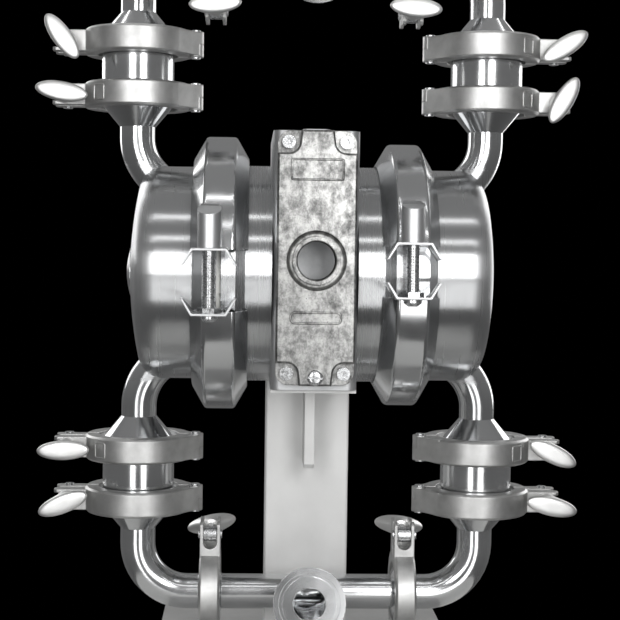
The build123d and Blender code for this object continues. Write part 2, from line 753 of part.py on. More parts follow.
wet_columns = ((discharge_column_x, 1), (suction_column_x, -1))
crown_radius = (boss_radius ** 2 + boss_crown ** 2) / (2 * boss_crown)
with BuildPart() as right_liquid_chamber:
    with BuildSketch(front_view):
        with BuildLine():
            Polyline((liquid_face, 0), (liquid_face, flange_radius),
                     (band_x + flange_half(flange_radius), flange_radius),
                     (band_x + flange_half(dome_radius), dome_radius),
                     (dome_straight_end, dome_radius))
            pole = dome_line(0)
            Line(pole @ 1, (liquid_face, 0))
        make_face()
    revolve(axis=pump_axis)
    with BuildSketch(front_view):
        with BuildLine():
            crown = JernArc((boss_end, 0), (0, 1), crown_radius,
                            degrees(asin(boss_radius / crown_radius)))
            Polyline(crown @ 1, (dome_straight_end, boss_radius), (dome_straight_end, 0),
                     (boss_end, 0))
        make_face()
    revolve(axis=pump_axis)
    for column_x, up in wet_columns:
        with BuildLine() as elbow:
            chamber_elbow_path(column_x, up)
        tube_along(elbow.line, tube_radius)
    with BuildSketch(front_view):
        with BuildLine():
            Polyline((liquid_face, 0), (liquid_face, dome_radius - 2 * dome_wall),
                     (band_x + flange_half(dome_radius), dome_radius - dome_wall),
                     (dome_straight_end, dome_radius - dome_wall))
            pole = dome_line(dome_wall)
            Line(pole @ 1, (liquid_face, 0))
        make_face()
    revolve(axis=pump_axis, mode=Mode.SUBTRACT)
    for column_x, up in wet_columns:
        with BuildLine() as elbow:
            chamber_elbow_path(column_x, up)
        tube_along(elbow.line, tube_bore, mode=Mode.SUBTRACT)
    for column_x, up in wet_columns:
        face_z = axis_height + up * (inner_joint - half_gasket)
        reducer(Plane((column_x, 0, face_z), x_dir=(1, 0, 0), z_dir=(0, 0, -up)))
right_liquid_chamber.part.label = "right_liquid_chamber"
export_step(right_liquid_chamber.part, "parts/right_liquid_chamber.step")

with BuildPart() as left_liquid_chamber:
    mirror(right_liquid_chamber.part, about=Plane.YZ)
left_liquid_chamber.part.label = "left_liquid_chamber"
export_step(left_liquid_chamber.part, "parts/left_liquid_chamber.step")

# Band clamps. Each is two half rings of formed sheet; a saddle at each end
# takes the closing bolt, and the upper half carries the bolt barrels.
band_base_half = band_rim_half + (band_rim_radius - band_base_radius) * tan(band_wall_angle)
sheet_slant = band_sheet / cos(band_wall_angle)
inner_rim_radius = band_rim_radius - band_sheet
half_gap = band_gap / 2


def band_place(side):
    """Where a band sits: round its flanges, turned on them by its clock angle."""
    x = band_x if side == "right" else -band_x
    return Location((x, 0, axis_height), (-band_clock[side], 0, 0))


with BuildPart() as band_shell:
    with BuildSketch(Plane.XZ) as section:
        with BuildLine():
            Polyline(
                (band_base_half, band_base_radius),
                (band_rim_half, band_rim_radius),
                (-band_rim_half, band_rim_radius),
                (-band_base_half, band_base_radius),
                (sheet_slant - band_base_half, band_base_radius),
                (-band_inner_half(inner_rim_radius), inner_rim_radius),
                (band_inner_half(inner_rim_radius), inner_rim_radius),
                (band_base_half - sheet_slant, band_base_radius),
                close=True,
            )
        make_face()
        fillet(section.vertices().group_by(Axis.Y)[-1], 1.5 * band_sheet)
    revolve(axis=Axis.X)
    with BuildSketch(Plane.XY.offset(half_gap)):
        Rectangle(4 * band_base_half, 3 * band_rim_radius)
    extrude(amount=-2 * band_rim_radius, mode=Mode.SUBTRACT)


def band_half(side, flip, with_barrels):
    """One half of a band in its upper position: shell, two saddles and their barrels."""
    shift = saddle_shift[side]
    spread, drop = saddle_leg
    inner, outer = saddle_flat_half, saddle_flat_half + spread
    low = half_gap - drop
    top = half_gap + saddle_sheet
    with BuildPart() as half:
        for front in (1, -1):
            with BuildSketch(Plane.XZ.offset(front * (flange_radius + formed_gap) * 0.9)):
                with BuildLine():
                    Polyline(
                        (shift - outer, low), (shift - inner, half_gap),
                        (shift + inner, half_gap), (shift + outer, low),
                        (shift + outer + saddle_sheet, low), (shift + inner + 1, top),
                        (shift - inner - 1, top), (shift - outer - saddle_sheet, low),
                        close=True,
                    )
                make_face()
            reach = band_rim_radius + saddle_reach - (flange_radius + formed_gap) * 0.9
            extrude(amount=front * reach)
            if with_barrels:
                with BuildSketch(Plane.XY.offset(half_gap)):
                    with Locations((shift, -front * band_bolt_y)):
                        Circle(barrel_radius)
                    with Locations((shift, -front * (band_bolt_y - barrel_radius))):
                        Rectangle(1.5 * barrel_radius, 2 * barrel_radius)
                extrude(amount=barrel_length)
                with BuildSketch(Plane.YZ.offset(shift - 2 * barrel_radius)):
                    crown = half_gap + barrel_length
                    fall = 2 * barrel_radius * tan(barrel_slant)
                    with BuildLine():
                        Polyline(
                            (-front * (band_bolt_y - barrel_radius), crown),
                            (-front * (band_bolt_y + barrel_radius + 1), crown - fall),
                            (-front * (band_bolt_y + barrel_radius + 1), crown + 1),
                            (-front * (band_bolt_y - barrel_radius), crown + 1),
                            close=True,
                        )
                    make_face()
                extrude(amount=4 * barrel_radius, mode=Mode.SUBTRACT)
        with BuildSketch(Plane.YZ.offset(-2 * band_base_half)):
            Circle(flange_radius + 2 * formed_gap)
        extrude(amount=4 * band_base_half, mode=Mode.SUBTRACT)
        add(band_shell.part)
        with BuildSketch(Plane.XY):
            for front in (1, -1):
                with Locations((shift, -front * band_bolt_y)):
                    Circle(band_bolt_radius + fit_gap)
        extrude(amount=half_gap + barrel_bore_depth, mode=Mode.SUBTRACT)
    turn = Location((0, 0, 0), (180, 0, 0)) if flip else Location((0, 0, 0))
    lift = Location((0, 0, band_lift[side]))
    return (band_place(side) * turn * lift) * half.part


upper_halves = [band_half(side, False, True) for side in ("left", "right")]
with BuildPart() as band_upper_halves:
    add(upper_halves)
band_upper_halves.part.label = "band_upper_halves"
export_step(band_upper_halves.part, "parts/band_upper_halves.step")

lower_halves = [band_half(side, True, False) for side in ("left", "right")]
with BuildPart() as band_lower_halves:
    add(lower_halves)
band_lower_halves.part.label = "band_lower_halves"
export_step(band_lower_halves.part, "parts/band_lower_halves.step")


def band_bolt_places(side):
    """Frames at the front and back bolt of a band, on the lower saddle, axis up."""
    saddle_z = -(half_gap + band_lift[side])
    return [
        band_place(side) * Location((saddle_shift[side], front * band_bolt_y, saddle_z))
        for front in (-1, 1)
    ]


# Closing bolts: domed head under the lower saddle, shank up into the barrel.
with BuildPart() as band_bolts:
    for side in ("left", "right"):
        shank = band_gap + 2 * band_lift[side] + barrel_bore_depth - 1
        for place in band_bolt_places(side):
            under = Plane(place).offset(-saddle_sheet)
            turned(under, [
                (0, shank + saddle_sheet),
                (band_bolt_radius, shank + saddle_sheet),
                (band_bolt_radius, 0),
                (band_bolt_head_radius, 0),
                (band_bolt_head_radius, -band_bolt_head_height / 2),
                (band_bolt_head_radius / 2, -band_bolt_head_height),
                (0, -band_bolt_head_height),
            ])
band_bolts.part.label = "band_bolts"
export_step(band_bolts.part, "parts/band_bolts.step")

# Thin hexagon nuts that hold the bolts on the lower saddles.
with BuildPart() as band_nuts:
    for side in ("left", "right"):
        for place in band_bolt_places(side):
            with BuildSketch(Plane(place)):
                RegularPolygon(band_nut_across / 2, 6, major_radius=False)
                Circle(band_bolt_radius + fit_gap, mode=Mode.SUBTRACT)
            extrude(amount=band_nut_height)
band_nuts.part.label = "band_nuts"
export_step(band_nuts.part, "parts/band_nuts.step")


# Ball valves in the four columns. Liquid rises through all of them, so each
# seat is at the foot of its housing. Names, column and height of the foot:
valve_feet = {
    "discharge_left": (-discharge_column_x, axis_height + inner_joint + half_gasket),
    "discharge_right": (discharge_column_x, axis_height + inner_joint + half_gasket),
    "suction_left": (-suction_column_x, axis_height - outer_joint + half_gasket),
    "suction_right": (suction_column_x, axis_height - outer_joint + half_gasket),
}
ball_rest = seat_thickness + sqrt(ball_radius ** 2 - seat_bore_radius ** 2) + seat_gap
stop_base = ball_rest + ball_lift + sqrt(ball_radius ** 2 - stop_reach ** 2) + seat_gap

# Housings: short tubes with a ferrule at each end and four guide ribs whose
# upper fingers stop the ball.
with BuildPart() as one_housing:
    ferrule(Plane.XY, housing_ferrule_radius, housing_radius, housing_bore, housing_length / 2)
    far_end = Plane((0, 0, housing_length), x_dir=(1, 0, 0), z_dir=(0, 0, -1))
    ferrule(far_end, housing_ferrule_radius, housing_radius, housing_bore, housing_length / 2)
    rib_inner = ball_radius + guide_gap
    rib_middle = (rib_inner + housing_radius) / 2 - housing_wall / 4
    with BuildSketch(Plane.XY.offset(seat_thickness + seat_gap)):
        with PolarLocations(rib_middle, guide_count, 45):
            Rectangle(housing_radius - rib_inner - housing_wall / 2, guide_thickness)
    extrude(amount=stop_base + stop_height - seat_thickness - seat_gap)
    with BuildSketch(Plane.XY.offset(stop_base)):
        with PolarLocations((stop_reach + rib_middle) / 2, guide_count, 45):
            Rectangle(rib_middle - stop_reach, guide_thickness)
    extrude(amount=stop_height)
with BuildPart() as valve_housings:
    with Locations(*[(x, 0, z) for x, z in valve_feet.values()]):
        add(one_housing.part)
valve_housings.part.label = "valve_housings"
export_step(valve_housings.part, "parts/valve_housings.step")

# Valve seats: rings that rest on the gasket lip at the foot of each housing.
with BuildPart() as valve_seats:
    for x, z in valve_feet.values():
        with BuildSketch(Plane((x, 0, z))):
            Circle(housing_bore - fit_gap)
            Circle(seat_bore_radius, mode=Mode.SUBTRACT)
        extrude(amount=seat_thickness)
valve_seats.part.label = "valve_seats"
export_step(valve_seats.part, "parts/valve_seats.step")

# Balls, each resting a hair above its seat.
for name, (x, z) in valve_feet.items():
    with BuildPart() as ball:
        with Locations((x, 0, z + ball_rest)):
            Sphere(ball_radius)
    ball.part.label = f"ball_{name}"
    export_step(ball.part, f"parts/ball_{name}.step")

# Manifold elbows: cone from the housing down to the tube, a quarter bend
# and the small ferrule of the manifold joint.
elbow_parts = []
for side in (-1, 1):
    for column_x, up in wet_columns:
        start_z = outer_joint + half_gasket + reducer_length
        face_x = manifold_joint_x + half_gasket
        with BuildPart() as manifold_elbow:
            with BuildLine() as run:
                FilletPolyline(
                    (side * column_x, 0, axis_height + up * start_z),
                    (side * column_x, 0, axis_height + up * manifold_height),
                    (side * face_x, 0, axis_height + up * manifold_height),
                    radius=manifold_bend_radius,
                )
            tube_along(run.line, tube_radius)
            tube_along(run.line, tube_bore, mode=Mode.SUBTRACT)
            reducer(Plane((side * column_x, 0, axis_height + up * (outer_joint + half_gasket)),
                          x_dir=(1, 0, 0), z_dir=(0, 0, up)))
            small_face = Plane((side * face_x, 0, axis_height + up * manifold_height),
                               x_dir=(0, 0, 1), z_dir=(side, 0, 0))
            ferrule(small_face, pipe_ferrule_radius, tube_radius, tube_bore, tube_radius)
        elbow_parts.append(manifold_elbow.part)
with BuildPart() as manifold_elbows:
    add(elbow_parts)
manifold_elbows.part.label = "manifold_elbows"
export_step(manifold_elbows.part, "parts/manifold_elbows.step")

# Tees in the middle of the two manifolds, each with a port towards the front.
port_planes = {}
for name, up, tilt in (("suction_tee", -1, suction_tee_tilt),
                       ("discharge_tee", 1, -discharge_tee_tilt)):
    centre = Vector(0, 0, axis_height + up * manifold_height)
    outward = Vector(0, -cos(radians(tilt)), sin(radians(tilt)))
    half_run = manifold_joint_x - half_gasket
    port_face = Plane(centre + outward * tee_branch_length, x_dir=(1, 0, 0), z_dir=-outward)
    port_planes[name] = port_face
    ends = [Plane(centre + Vector(side * half_run, 0, 0), x_dir=(0, 0, 1), z_dir=(-side, 0, 0))
            for side in (-1, 1)]
    with BuildPart() as tee:
        for radius, mode in ((tube_radius, Mode.ADD), (tube_bore, Mode.SUBTRACT)):
            with BuildSketch(ends[0]):
                Circle(radius)
            extrude(amount=2 * half_run, mode=mode)
            with BuildSketch(port_face):
                Circle(radius)
            extrude(amount=tee_branch_length, mode=mode)
        for face in ends:
            ferrule(face, pipe_ferrule_radius, tube_radius, tube_bore, tube_radius)
        ferrule(port_face, pipe_ferrule_radius, tube_radius, tube_bore, tube_radius)
        with BuildSketch(port_face):
            Circle(port_groove_radius + port_groove_width / 2)
            Circle(port_groove_radius - port_groove_width / 2, mode=Mode.SUBTRACT)
        extrude(amount=port_groove_depth, mode=Mode.SUBTRACT)
    tee.part.label = name
    export_step(tee.part, f"parts/{name}.step")


# Hinged sanitary clamps. In a clamp's own frame Z is the pipe, the bolt is on
# the +X side, the hinge on the -X side and the wing nut looks to -Y.
clamp_frames = {}
for side_name, side in (("left", -1), ("right", 1)):
    for level, column_x, up in (("discharge", discharge_column_x, 1),
                                ("suction", suction_column_x, -1)):
        for place, joint in (("inner", inner_joint), ("outer", outer_joint)):
            clamp_frames[f"{level}_{side_name}_{place}"] = Plane(
                (side * column_x, 0, axis_height + up * joint),
                x_dir=(side, 0, 0), z_dir=(0, 0, side),
            )
        clamp_frames[f"pipe_{level}_{side_name}"] = Plane(
            (side * manifold_joint_x, 0, axis_height + up * manifold_height),
            x_dir=(0, 0, -up), z_dir=(1, 0, 0),
        )
ear_front = ear_gap + ear_thickness
eye_y = ear_gap + ear_thickness / 2
ear_half_width = slot_width / 2 + prong_thickness


def clamp_half(ferrule_radius, width, pin_x, bolt_x, tip_x, side):
    """One clamp half; side is -1 for the front half with the nut, 1 for the rear half."""
    half_width = width / 2
    ring_radius = ferrule_radius + fit_gap * 10 + clamp_wall
    lip = ferrule_radius - clamp_lip
    groove = half_gasket + ferrule_rim + formed_gap
    flare = clamp_lip * tan(ferrule_slope)
    with BuildPart() as half:
        turned(Plane.XY, [
            (lip, groove + flare),
            (ferrule_radius, groove),
            (ferrule_radius + fit_gap * 10, groove),
            (ferrule_radius + fit_gap * 10, -groove),
            (ferrule_radius, -groove),
            (lip, -groove - flare),
            (lip, -half_width),
            (ring_radius - clamp_edge, -half_width),
            (ring_radius, clamp_edge - half_width),
            (ring_radius, half_width - clamp_edge),
            (ring_radius - clamp_edge, half_width),
            (lip, half_width),
        ])
        arm = acos((ring_radius - knuckle_radius) / pin_x)
        with BuildSketch(Plane.XY.offset(clamp_edge / 2 - half_width)):
            with BuildLine():
                Polyline(
                    (-ring_radius * cos(arm), side * ring_radius * sin(arm)),
                    (-pin_x - knuckle_radius * cos(arm), side * knuckle_radius * sin(arm)),
                    (-pin_x, 0), (0, 0), close=True,
                )
            make_face()
            Circle(ring_radius - clamp_wall / 2, mode=Mode.SUBTRACT)
        extrude(amount=width - clamp_edge)
        with BuildSketch(Plane.XY.offset(-width)):
            with Locations((0, side * (clamp_split - 1.5 * ring_radius))):
                Rectangle(4 * ring_radius, 3 * ring_radius)
        extrude(amount=2 * width, mode=Mode.SUBTRACT)
        knuckle_end = side * half_width
        with BuildSketch(Plane.XY):
            with Locations((-pin_x, 0)):
                Circle(knuckle_radius + seat_gap)
        extrude(amount=-knuckle_end, mode=Mode.SUBTRACT)
        with BuildSketch(Plane.XY.offset(side * formed_gap / 2)):
            with Locations((-pin_x, 0)):
                Circle(knuckle_radius)
        extrude(amount=knuckle_end - side * formed_gap / 2)
        with BuildSketch(Plane.XY.offset(-half_width)):
            with Locations((-pin_x, 0)):
                Circle(hinge_pin_radius + fit_gap)
        extrude(amount=width, mode=Mode.SUBTRACT)
        ear_root = sqrt(ring_radius ** 2 - ear_front ** 2) - ear_edge
        with BuildSketch(Plane.XY.offset(-ear_half_width)):
            with BuildLine():
                Polyline(
                    (ear_root, side * ear_gap), (tip_x - ear_edge, side * ear_gap),
                    (tip_x, side * (ear_gap + ear_edge)), (tip_x, side * (ear_front - ear_edge)),
                    (tip_x - ear_edge, side * ear_front), (ear_root, side * ear_front),
                    close=True,
                )
            make_face()
        extrude(amount=2 * ear_half_width)
        slot_start = bolt_x if side == -1 else bolt_x - swing_eye_radius - seat_gap
        with BuildSketch(Plane.XZ.offset(-side * ear_gap)):
            with Locations(((slot_start + tip_x + 1) / 2, 0)):
                Rectangle(tip_x + 1 - slot_start, slot_width)
            with Locations((slot_start, 0)):
                Circle(slot_width / 2)
        extrude(amount=-side * ear_thickness, mode=Mode.SUBTRACT)
        if side == 1:
            with BuildSketch(Plane.XY.offset(-width)):
                with Locations((bolt_x, eye_y)):
                    Circle(hinge_pin_radius + fit_gap)
            extrude(amount=2 * width, mode=Mode.SUBTRACT)
    return half.part


housing_size = (housing_ferrule_radius, housing_clamp_width, housing_clamp_pin,
                housing_clamp_bolt, housing_clamp_tip)
pipe_size = (pipe_ferrule_radius, pipe_clamp_width, pipe_clamp_pin,
             pipe_clamp_bolt, pipe_clamp_tip)
for label, size in (("housing", housing_size), ("pipe", pipe_size)):
    planes = [plane for name, plane in clamp_frames.items()
              if name.startswith("pipe") == (label == "pipe")]
    for half_name, side in (("front", -1), ("rear", 1)):
        one_half = clamp_half(*size, side)
        with BuildPart() as halves:
            with Locations(*planes):
                add(one_half)
        halves.part.label = f"{label}_clamp_{half_name}_halves"
        export_step(halves.part, f"parts/{label}_clamp_{half_name}_halves.step")


def clamp_sizes(name):
    """Width, hinge pin place and bolt place of the named clamp."""
    if name.startswith("pipe"):
        return pipe_clamp_width, pipe_clamp_pin, pipe_clamp_bolt
    return housing_clamp_width, housing_clamp_pin, housing_clamp_bolt


# Hinge pins and the pivot pins of the swing bolts, all with riveted heads.
with BuildPart() as clamp_pins:
    for name, plane in clamp_frames.items():
        width, pin_x, bolt_x = clamp_sizes(name)
        for x, y, half_length in ((-pin_x, 0, width / 2), (bolt_x, eye_y, ear_half_width)):
            foot = Plane(plane.location * Location((x, y, -half_length)))
            turned(foot, [
                (0, -pin_head_height), (pin_head_radius, -pin_head_height),
                (pin_head_radius, 0), (hinge_pin_radius, 0),
                (hinge_pin_radius, 2 * half_length), (pin_head_radius, 2 * half_length),
                (pin_head_radius, 2 * half_length + pin_head_height),
                (0, 2 * half_length + pin_head_height),
            ])
clamp_pins.part.label = "clamp_pins"
export_step(clamp_pins.part, "parts/clamp_pins.step")

# Swing bolts: an eye on the pivot pin and a threaded shank for the wing nut.
with BuildPart() as one_swing_bolt:
    with BuildSketch(Plane.XZ.offset(-eye_y)):
        Circle(swing_bolt_radius)
    extrude(amount=eye_y + swing_bolt_reach)
    with BuildSketch(Plane.XY.offset(-swing_eye_thickness / 2)):
        with Locations((0, eye_y)):
            Circle(swing_eye_radius)
    extrude(amount=swing_eye_thickness)
    with BuildSketch(Plane.XY.offset(-swing_eye_thickness / 2)):
        with Locations((0, eye_y)):
            Circle(hinge_pin_radius + fit_gap)
    extrude(amount=swing_eye_thickness, mode=Mode.SUBTRACT)
with BuildPart() as swing_bolts:
    for name, plane in clamp_frames.items():
        bolt_x = clamp_sizes(name)[2]
        with Locations(plane.location * Location((bolt_x, 0, 0))):
            add(one_swing_bolt.part)
swing_bolts.part.label = "swing_bolts"
export_step(swing_bolts.part, "parts/swing_bolts.step")

# Wing nuts: a round hub that flares into a smooth oval face. Each is a piece
# of its own, left at the angle (degrees, right end up) to which it was tightened.
nut_turns = {
    "discharge_left_outer": -54, "discharge_left_inner": -9,
    "discharge_right_outer": 33, "discharge_right_inner": 60,
    "suction_left_inner": 2, "suction_left_outer": 22,
    "suction_right_inner": -25, "suction_right_outer": -12,
    "pipe_discharge_left": 4, "pipe_discharge_right": -4,
    "pipe_suction_left": 13, "pipe_suction_right": -7,
}
for name, plane in clamp_frames.items():
    bolt_x = clamp_sizes(name)[2]
    outward = -plane.y_dir
    turn = radians(nut_turns[name])
    seat = Plane(plane.origin + plane.x_dir * bolt_x + outward * (ear_front + 2 * fit_gap),
                 x_dir=(cos(turn), 0, sin(turn)), z_dir=outward)
    with BuildPart() as wing_nut:
        for height, half_span, half_across in (
            (0, nut_hub_radius + fit_gap, nut_hub_radius - fit_gap),
            (nut_hub_height, nut_hub_radius + fit_gap, nut_hub_radius - fit_gap),
            (nut_hub_height + nut_flare_height, nut_half_span, nut_half_width),
            (nut_hub_height + nut_flare_height + nut_face_height, nut_half_span, nut_half_width),
        ):
            with BuildSketch(seat.offset(height)):
                Ellipse(half_span, half_across)
        loft(ruled=True)
        with BuildSketch(seat):
            Circle(swing_bolt_radius + fit_gap)
        extrude(amount=nut_bore_depth, mode=Mode.SUBTRACT)
    wing_nut.part.label = f"wing_nut_{name}"
    export_step(wing_nut.part, f"parts/wing_nut_{name}.step")

# Joint gaskets of both sizes, with a lip into the bore at the valve housings.
with BuildPart() as ferrule_gaskets:
    for name, plane in clamp_frames.items():
        pipe = name.startswith("pipe")
        outer_radius = pipe_ferrule_radius if pipe else housing_ferrule_radius
        inner_radius = tube_bore if pipe else ferrule_bore
        with BuildSketch(plane.offset(-half_gasket)):
            Circle(outer_radius)
            Circle(inner_radius, mode=Mode.SUBTRACT)
        extrude(amount=gasket_thickness)
ferrule_gaskets.part.label = "ferrule_gaskets"
export_step(ferrule_gaskets.part, "parts/ferrule_gaskets.step")

# Stand: base plate, square column, and a shelf with a front rib under the block.
shelf_top = axis_height - block_bottom
shelf_under = shelf_top - shelf_thickness
base_thickness = base_size[2]
column_middle_y = column_front_y + column_depth / 2
with BuildPart() as stand_base:
    with BuildSketch(Plane.XY):
        with Locations((0, base_centre_y)):
            RectangleRounded(base_size[0], base_size[1], base_corner)
            with GridLocations(base_size[0] - 2 * base_bolt_edge,
                               base_size[1] - 2 * base_bolt_edge, 2, 2):
                Circle(base_bolt_radius, mode=Mode.SUBTRACT)
    extrude(amount=base_thickness)
stand_base.part.label = "stand_base"
export_step(stand_base.part, "parts/stand_base.step")

with BuildPart() as stand_column:
    with BuildSketch(Plane.XY.offset(base_thickness)):
        with Locations((0, column_middle_y)):
            RectangleRounded(column_width, column_depth, column_corner)
            Rectangle(column_width - 2 * column_wall, column_depth - 2 * column_wall,
                      mode=Mode.SUBTRACT)
    extrude(amount=shelf_under - base_thickness)
stand_column.part.label = "stand_column"
export_step(stand_column.part, "parts/stand_column.step")

column_back_y = column_front_y + column_depth
with BuildPart() as stand_shelf:
    with BuildSketch(Plane.XY.offset(shelf_under)):
        with Locations((0, (shelf_front_y + column_back_y) / 2)):
            Rectangle(block_width, column_back_y - shelf_front_y)
        with GridLocations(stand_screw_dx, 0, 2, 1):
            with Locations((0, stand_screw_front), (0, stand_screw_back)):
                Circle(stand_screw_radius + fit_gap, mode=Mode.SUBTRACT)
    extrude(amount=shelf_thickness)
    with BuildSketch(Plane.YZ.offset(-rib_thickness / 2)):
        with BuildLine():
            Polyline(
                (rib_front_y, shelf_under),
                (rib_front_y, shelf_under - rib_height + rib_corner),
                (rib_front_y + rib_corner, shelf_under - rib_height),
                (column_front_y, shelf_under - rib_height),
                (column_front_y, shelf_under),
                close=True,
            )
        make_face()
    extrude(amount=rib_thickness)
stand_shelf.part.label = "stand_shelf"
export_step(stand_shelf.part, "parts/stand_shelf.step")

# Screws from under the shelf up into the block.
with BuildPart() as stand_screws:
    for radius, start, height in (
        (stand_screw_radius, shelf_under, stand_screw_length),
        (stand_screw_head_radius, shelf_under - stand_screw_head_height, stand_screw_head_height),
    ):
        with BuildSketch(Plane.XY.offset(start)):
            with GridLocations(stand_screw_dx, 0, 2, 1):
                with Locations((0, stand_screw_front), (0, stand_screw_back)):
                    Circle(radius)
        extrude(amount=height)
stand_screws.part.label = "stand_screws"
export_step(stand_screws.part, "parts/stand_screws.step")
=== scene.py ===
from math import cos, pi, radians, sin

import bmesh
import bpy
from mathutils import Matrix, Vector


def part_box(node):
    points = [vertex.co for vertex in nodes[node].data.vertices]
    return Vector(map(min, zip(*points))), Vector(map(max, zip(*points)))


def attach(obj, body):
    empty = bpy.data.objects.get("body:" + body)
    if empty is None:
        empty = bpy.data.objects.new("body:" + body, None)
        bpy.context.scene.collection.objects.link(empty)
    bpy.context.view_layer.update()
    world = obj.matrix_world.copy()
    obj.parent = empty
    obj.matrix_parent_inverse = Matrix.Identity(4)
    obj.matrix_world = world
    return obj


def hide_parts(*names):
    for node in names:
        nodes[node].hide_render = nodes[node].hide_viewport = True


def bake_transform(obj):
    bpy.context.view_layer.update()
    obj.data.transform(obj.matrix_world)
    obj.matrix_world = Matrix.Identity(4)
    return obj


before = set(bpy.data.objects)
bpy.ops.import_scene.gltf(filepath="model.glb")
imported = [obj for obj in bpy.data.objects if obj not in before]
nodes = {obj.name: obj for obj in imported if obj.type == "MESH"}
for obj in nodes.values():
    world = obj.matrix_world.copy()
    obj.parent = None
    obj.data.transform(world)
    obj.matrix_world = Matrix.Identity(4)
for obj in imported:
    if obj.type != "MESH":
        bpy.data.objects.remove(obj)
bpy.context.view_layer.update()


# Stand: base plate, square column and shelf of 2.5 to 8 mm stainless sheet.
# They are cut, folded and welded, then glass bead blasted to an even pale
# matte that keeps a few handling marks.
def linear(hex_colour):
    """Turn an sRGB hex colour into the linear colour that the shader takes."""
    channels = [int(hex_colour[i:i + 2], 16) / 255 for i in (1, 3, 5)]
    return [c / 12.92 if c <= 0.04045 else ((c + 0.055) / 1.055) ** 2.4 for c in channels] + [1]


def add_node(tree, kind, settings=None, **inputs):
    """Add a node, set its properties and give each named input a value or a link."""
    node = tree.nodes.new(kind)
    for name, value in (settings or {}).items():
        setattr(node, name, value)
    for name, value in inputs.items():
        socket = node.inputs[name.replace("_", " ")] if "_" in name else node.inputs[name]
        if isinstance(value, bpy.types.NodeSocket):
            tree.links.new(value, socket)
        else:
            socket.default_value = value
    return node


def new_finish(name, metallic, roughness, colour):
    """Start a material: its tree, its shader and the object coordinates in metres."""
    material = bpy.data.materials.new(name)
    material.use_nodes = True
    tree = material.node_tree
    shader = tree.nodes["Principled BSDF"]
    shader.inputs["Metallic"].default_value = metallic
    shader.inputs["Roughness"].default_value = roughness
    shader.inputs["Base Color"].default_value = linear(colour)
    place = add_node(tree, "ShaderNodeTexCoord").outputs["Object"]
    return material, tree, shader, place


def noise(tree, place, size, detail=4.0, rough=0.5):
    """Noise whose features are the given millimetres wide along x, y and z."""
    stretch = [1000 / step for step in size]
    stretched = add_node(tree, "ShaderNodeMapping", Vector=place, Scale=stretch).outputs["Vector"]
    return add_node(tree, "ShaderNodeTexNoise", Vector=stretched, Scale=1.0, Detail=detail,
                    Roughness=rough).outputs["Fac"]


def blend_colours(tree, factor, points):
    """A colour ramp from (position, hex colour) points."""
    ramp = add_node(tree, "ShaderNodeValToRGB", Fac=factor)
    elements = ramp.color_ramp.elements
    while len(elements) < len(points):
        elements.new(0.5)
    for element, (position, colour) in zip(elements, points):
        element.position = position
        element.color = linear(colour)
    return ramp.outputs["Color"]


def spread(tree, value, low, high, start=0.3, end=0.7):
    """Map a noise value to a range."""
    return add_node(tree, "ShaderNodeMapRange", Value=value, From_Min=start, From_Max=end,
                    To_Min=low, To_Max=high).outputs["Result"]


def relief(tree, shader, height, depth_mm, strength, edge_mm=0.0):
    """Bump the surface by a height, over edges that are rounded by edge_mm."""
    bump = add_node(tree, "ShaderNodeBump", Strength=strength, Distance=depth_mm / 1000,
                    Height=height)
    if edge_mm:
        edge = add_node(tree, "ShaderNodeBevel", {"samples": 6}, Radius=edge_mm / 1000)
        tree.links.new(edge.outputs["Normal"], bump.inputs["Normal"])
    tree.links.new(bump.outputs["Normal"], shader.inputs["Normal"])


def blasted_sheet(name, dark, pale):
    """Bead blasted stainless sheet: even, slightly cloudy between two tones, fine grit."""
    material, tree, shader, place = new_finish(name, 0.15, 0.55, pale)
    clouds = noise(tree, place, (45, 45, 60), 6.0)
    tree.links.new(blend_colours(tree, clouds, [(0.3, dark), (0.7, pale)]),
                   shader.inputs["Base Color"])
    marks = noise(tree, place, (6, 6, 9), 8.0, 0.7)
    tree.links.new(spread(tree, marks, 0.48, 0.62), shader.inputs["Roughness"])
    relief(tree, shader, noise(tree, place, (0.8, 0.8, 0.8), 2.0), 0.1, 0.12, 0.5)
    return material


def dress(material, *names):
    """Give the finish to CAD nodes."""
    for name in names:
        node = nodes[name]
        node.data.materials.clear()
        node.data.materials.append(material)


dress(blasted_sheet("bead_blasted_sheet", "#cbcbca", "#dededd"), "stand_column", "stand_shelf")
# The base plate gets the same sheet in darker tones: painted shade on the low plate under the
# pump.
dress(blasted_sheet("base_plate_painted_shade", "#a1a1a0", "#b2b2b1"), "stand_base")


# Bright stainless fasteners: cap screws, band bolts and nuts, swing bolts,
# riveted pins and the screws of the stand. They are cold formed and rolled,
# so they shine between fine handling scratches.
def bright_fastener(name, edge_mm):
    """Cold formed stainless: bright grey with small scuffs."""
    material, tree, shader, place = new_finish(name, 1.0, 0.25, "#c6c7c8")
    scuffs = noise(tree, place, (2.5, 2.5, 2.5), 6.0, 0.7)
    tree.links.new(spread(tree, scuffs, 0.18, 0.36), shader.inputs["Roughness"])
    tree.links.new(blend_colours(tree, scuffs, [(0.3, "#b4b5b6"), (0.6, "#cdcecf")]),
                   shader.inputs["Base Color"])
    relief(tree, shader, scuffs, 0.05, 0.1, edge_mm)
    return material


fastener_steel = bright_fastener("bright_fastener_steel", 0.3)
dress(fastener_steel, "stand_screws", "front_cover_screws", "air_valve_screws",
      "air_chamber_screws", "band_bolts", "band_nuts", "clamp_pins", "swing_bolts")


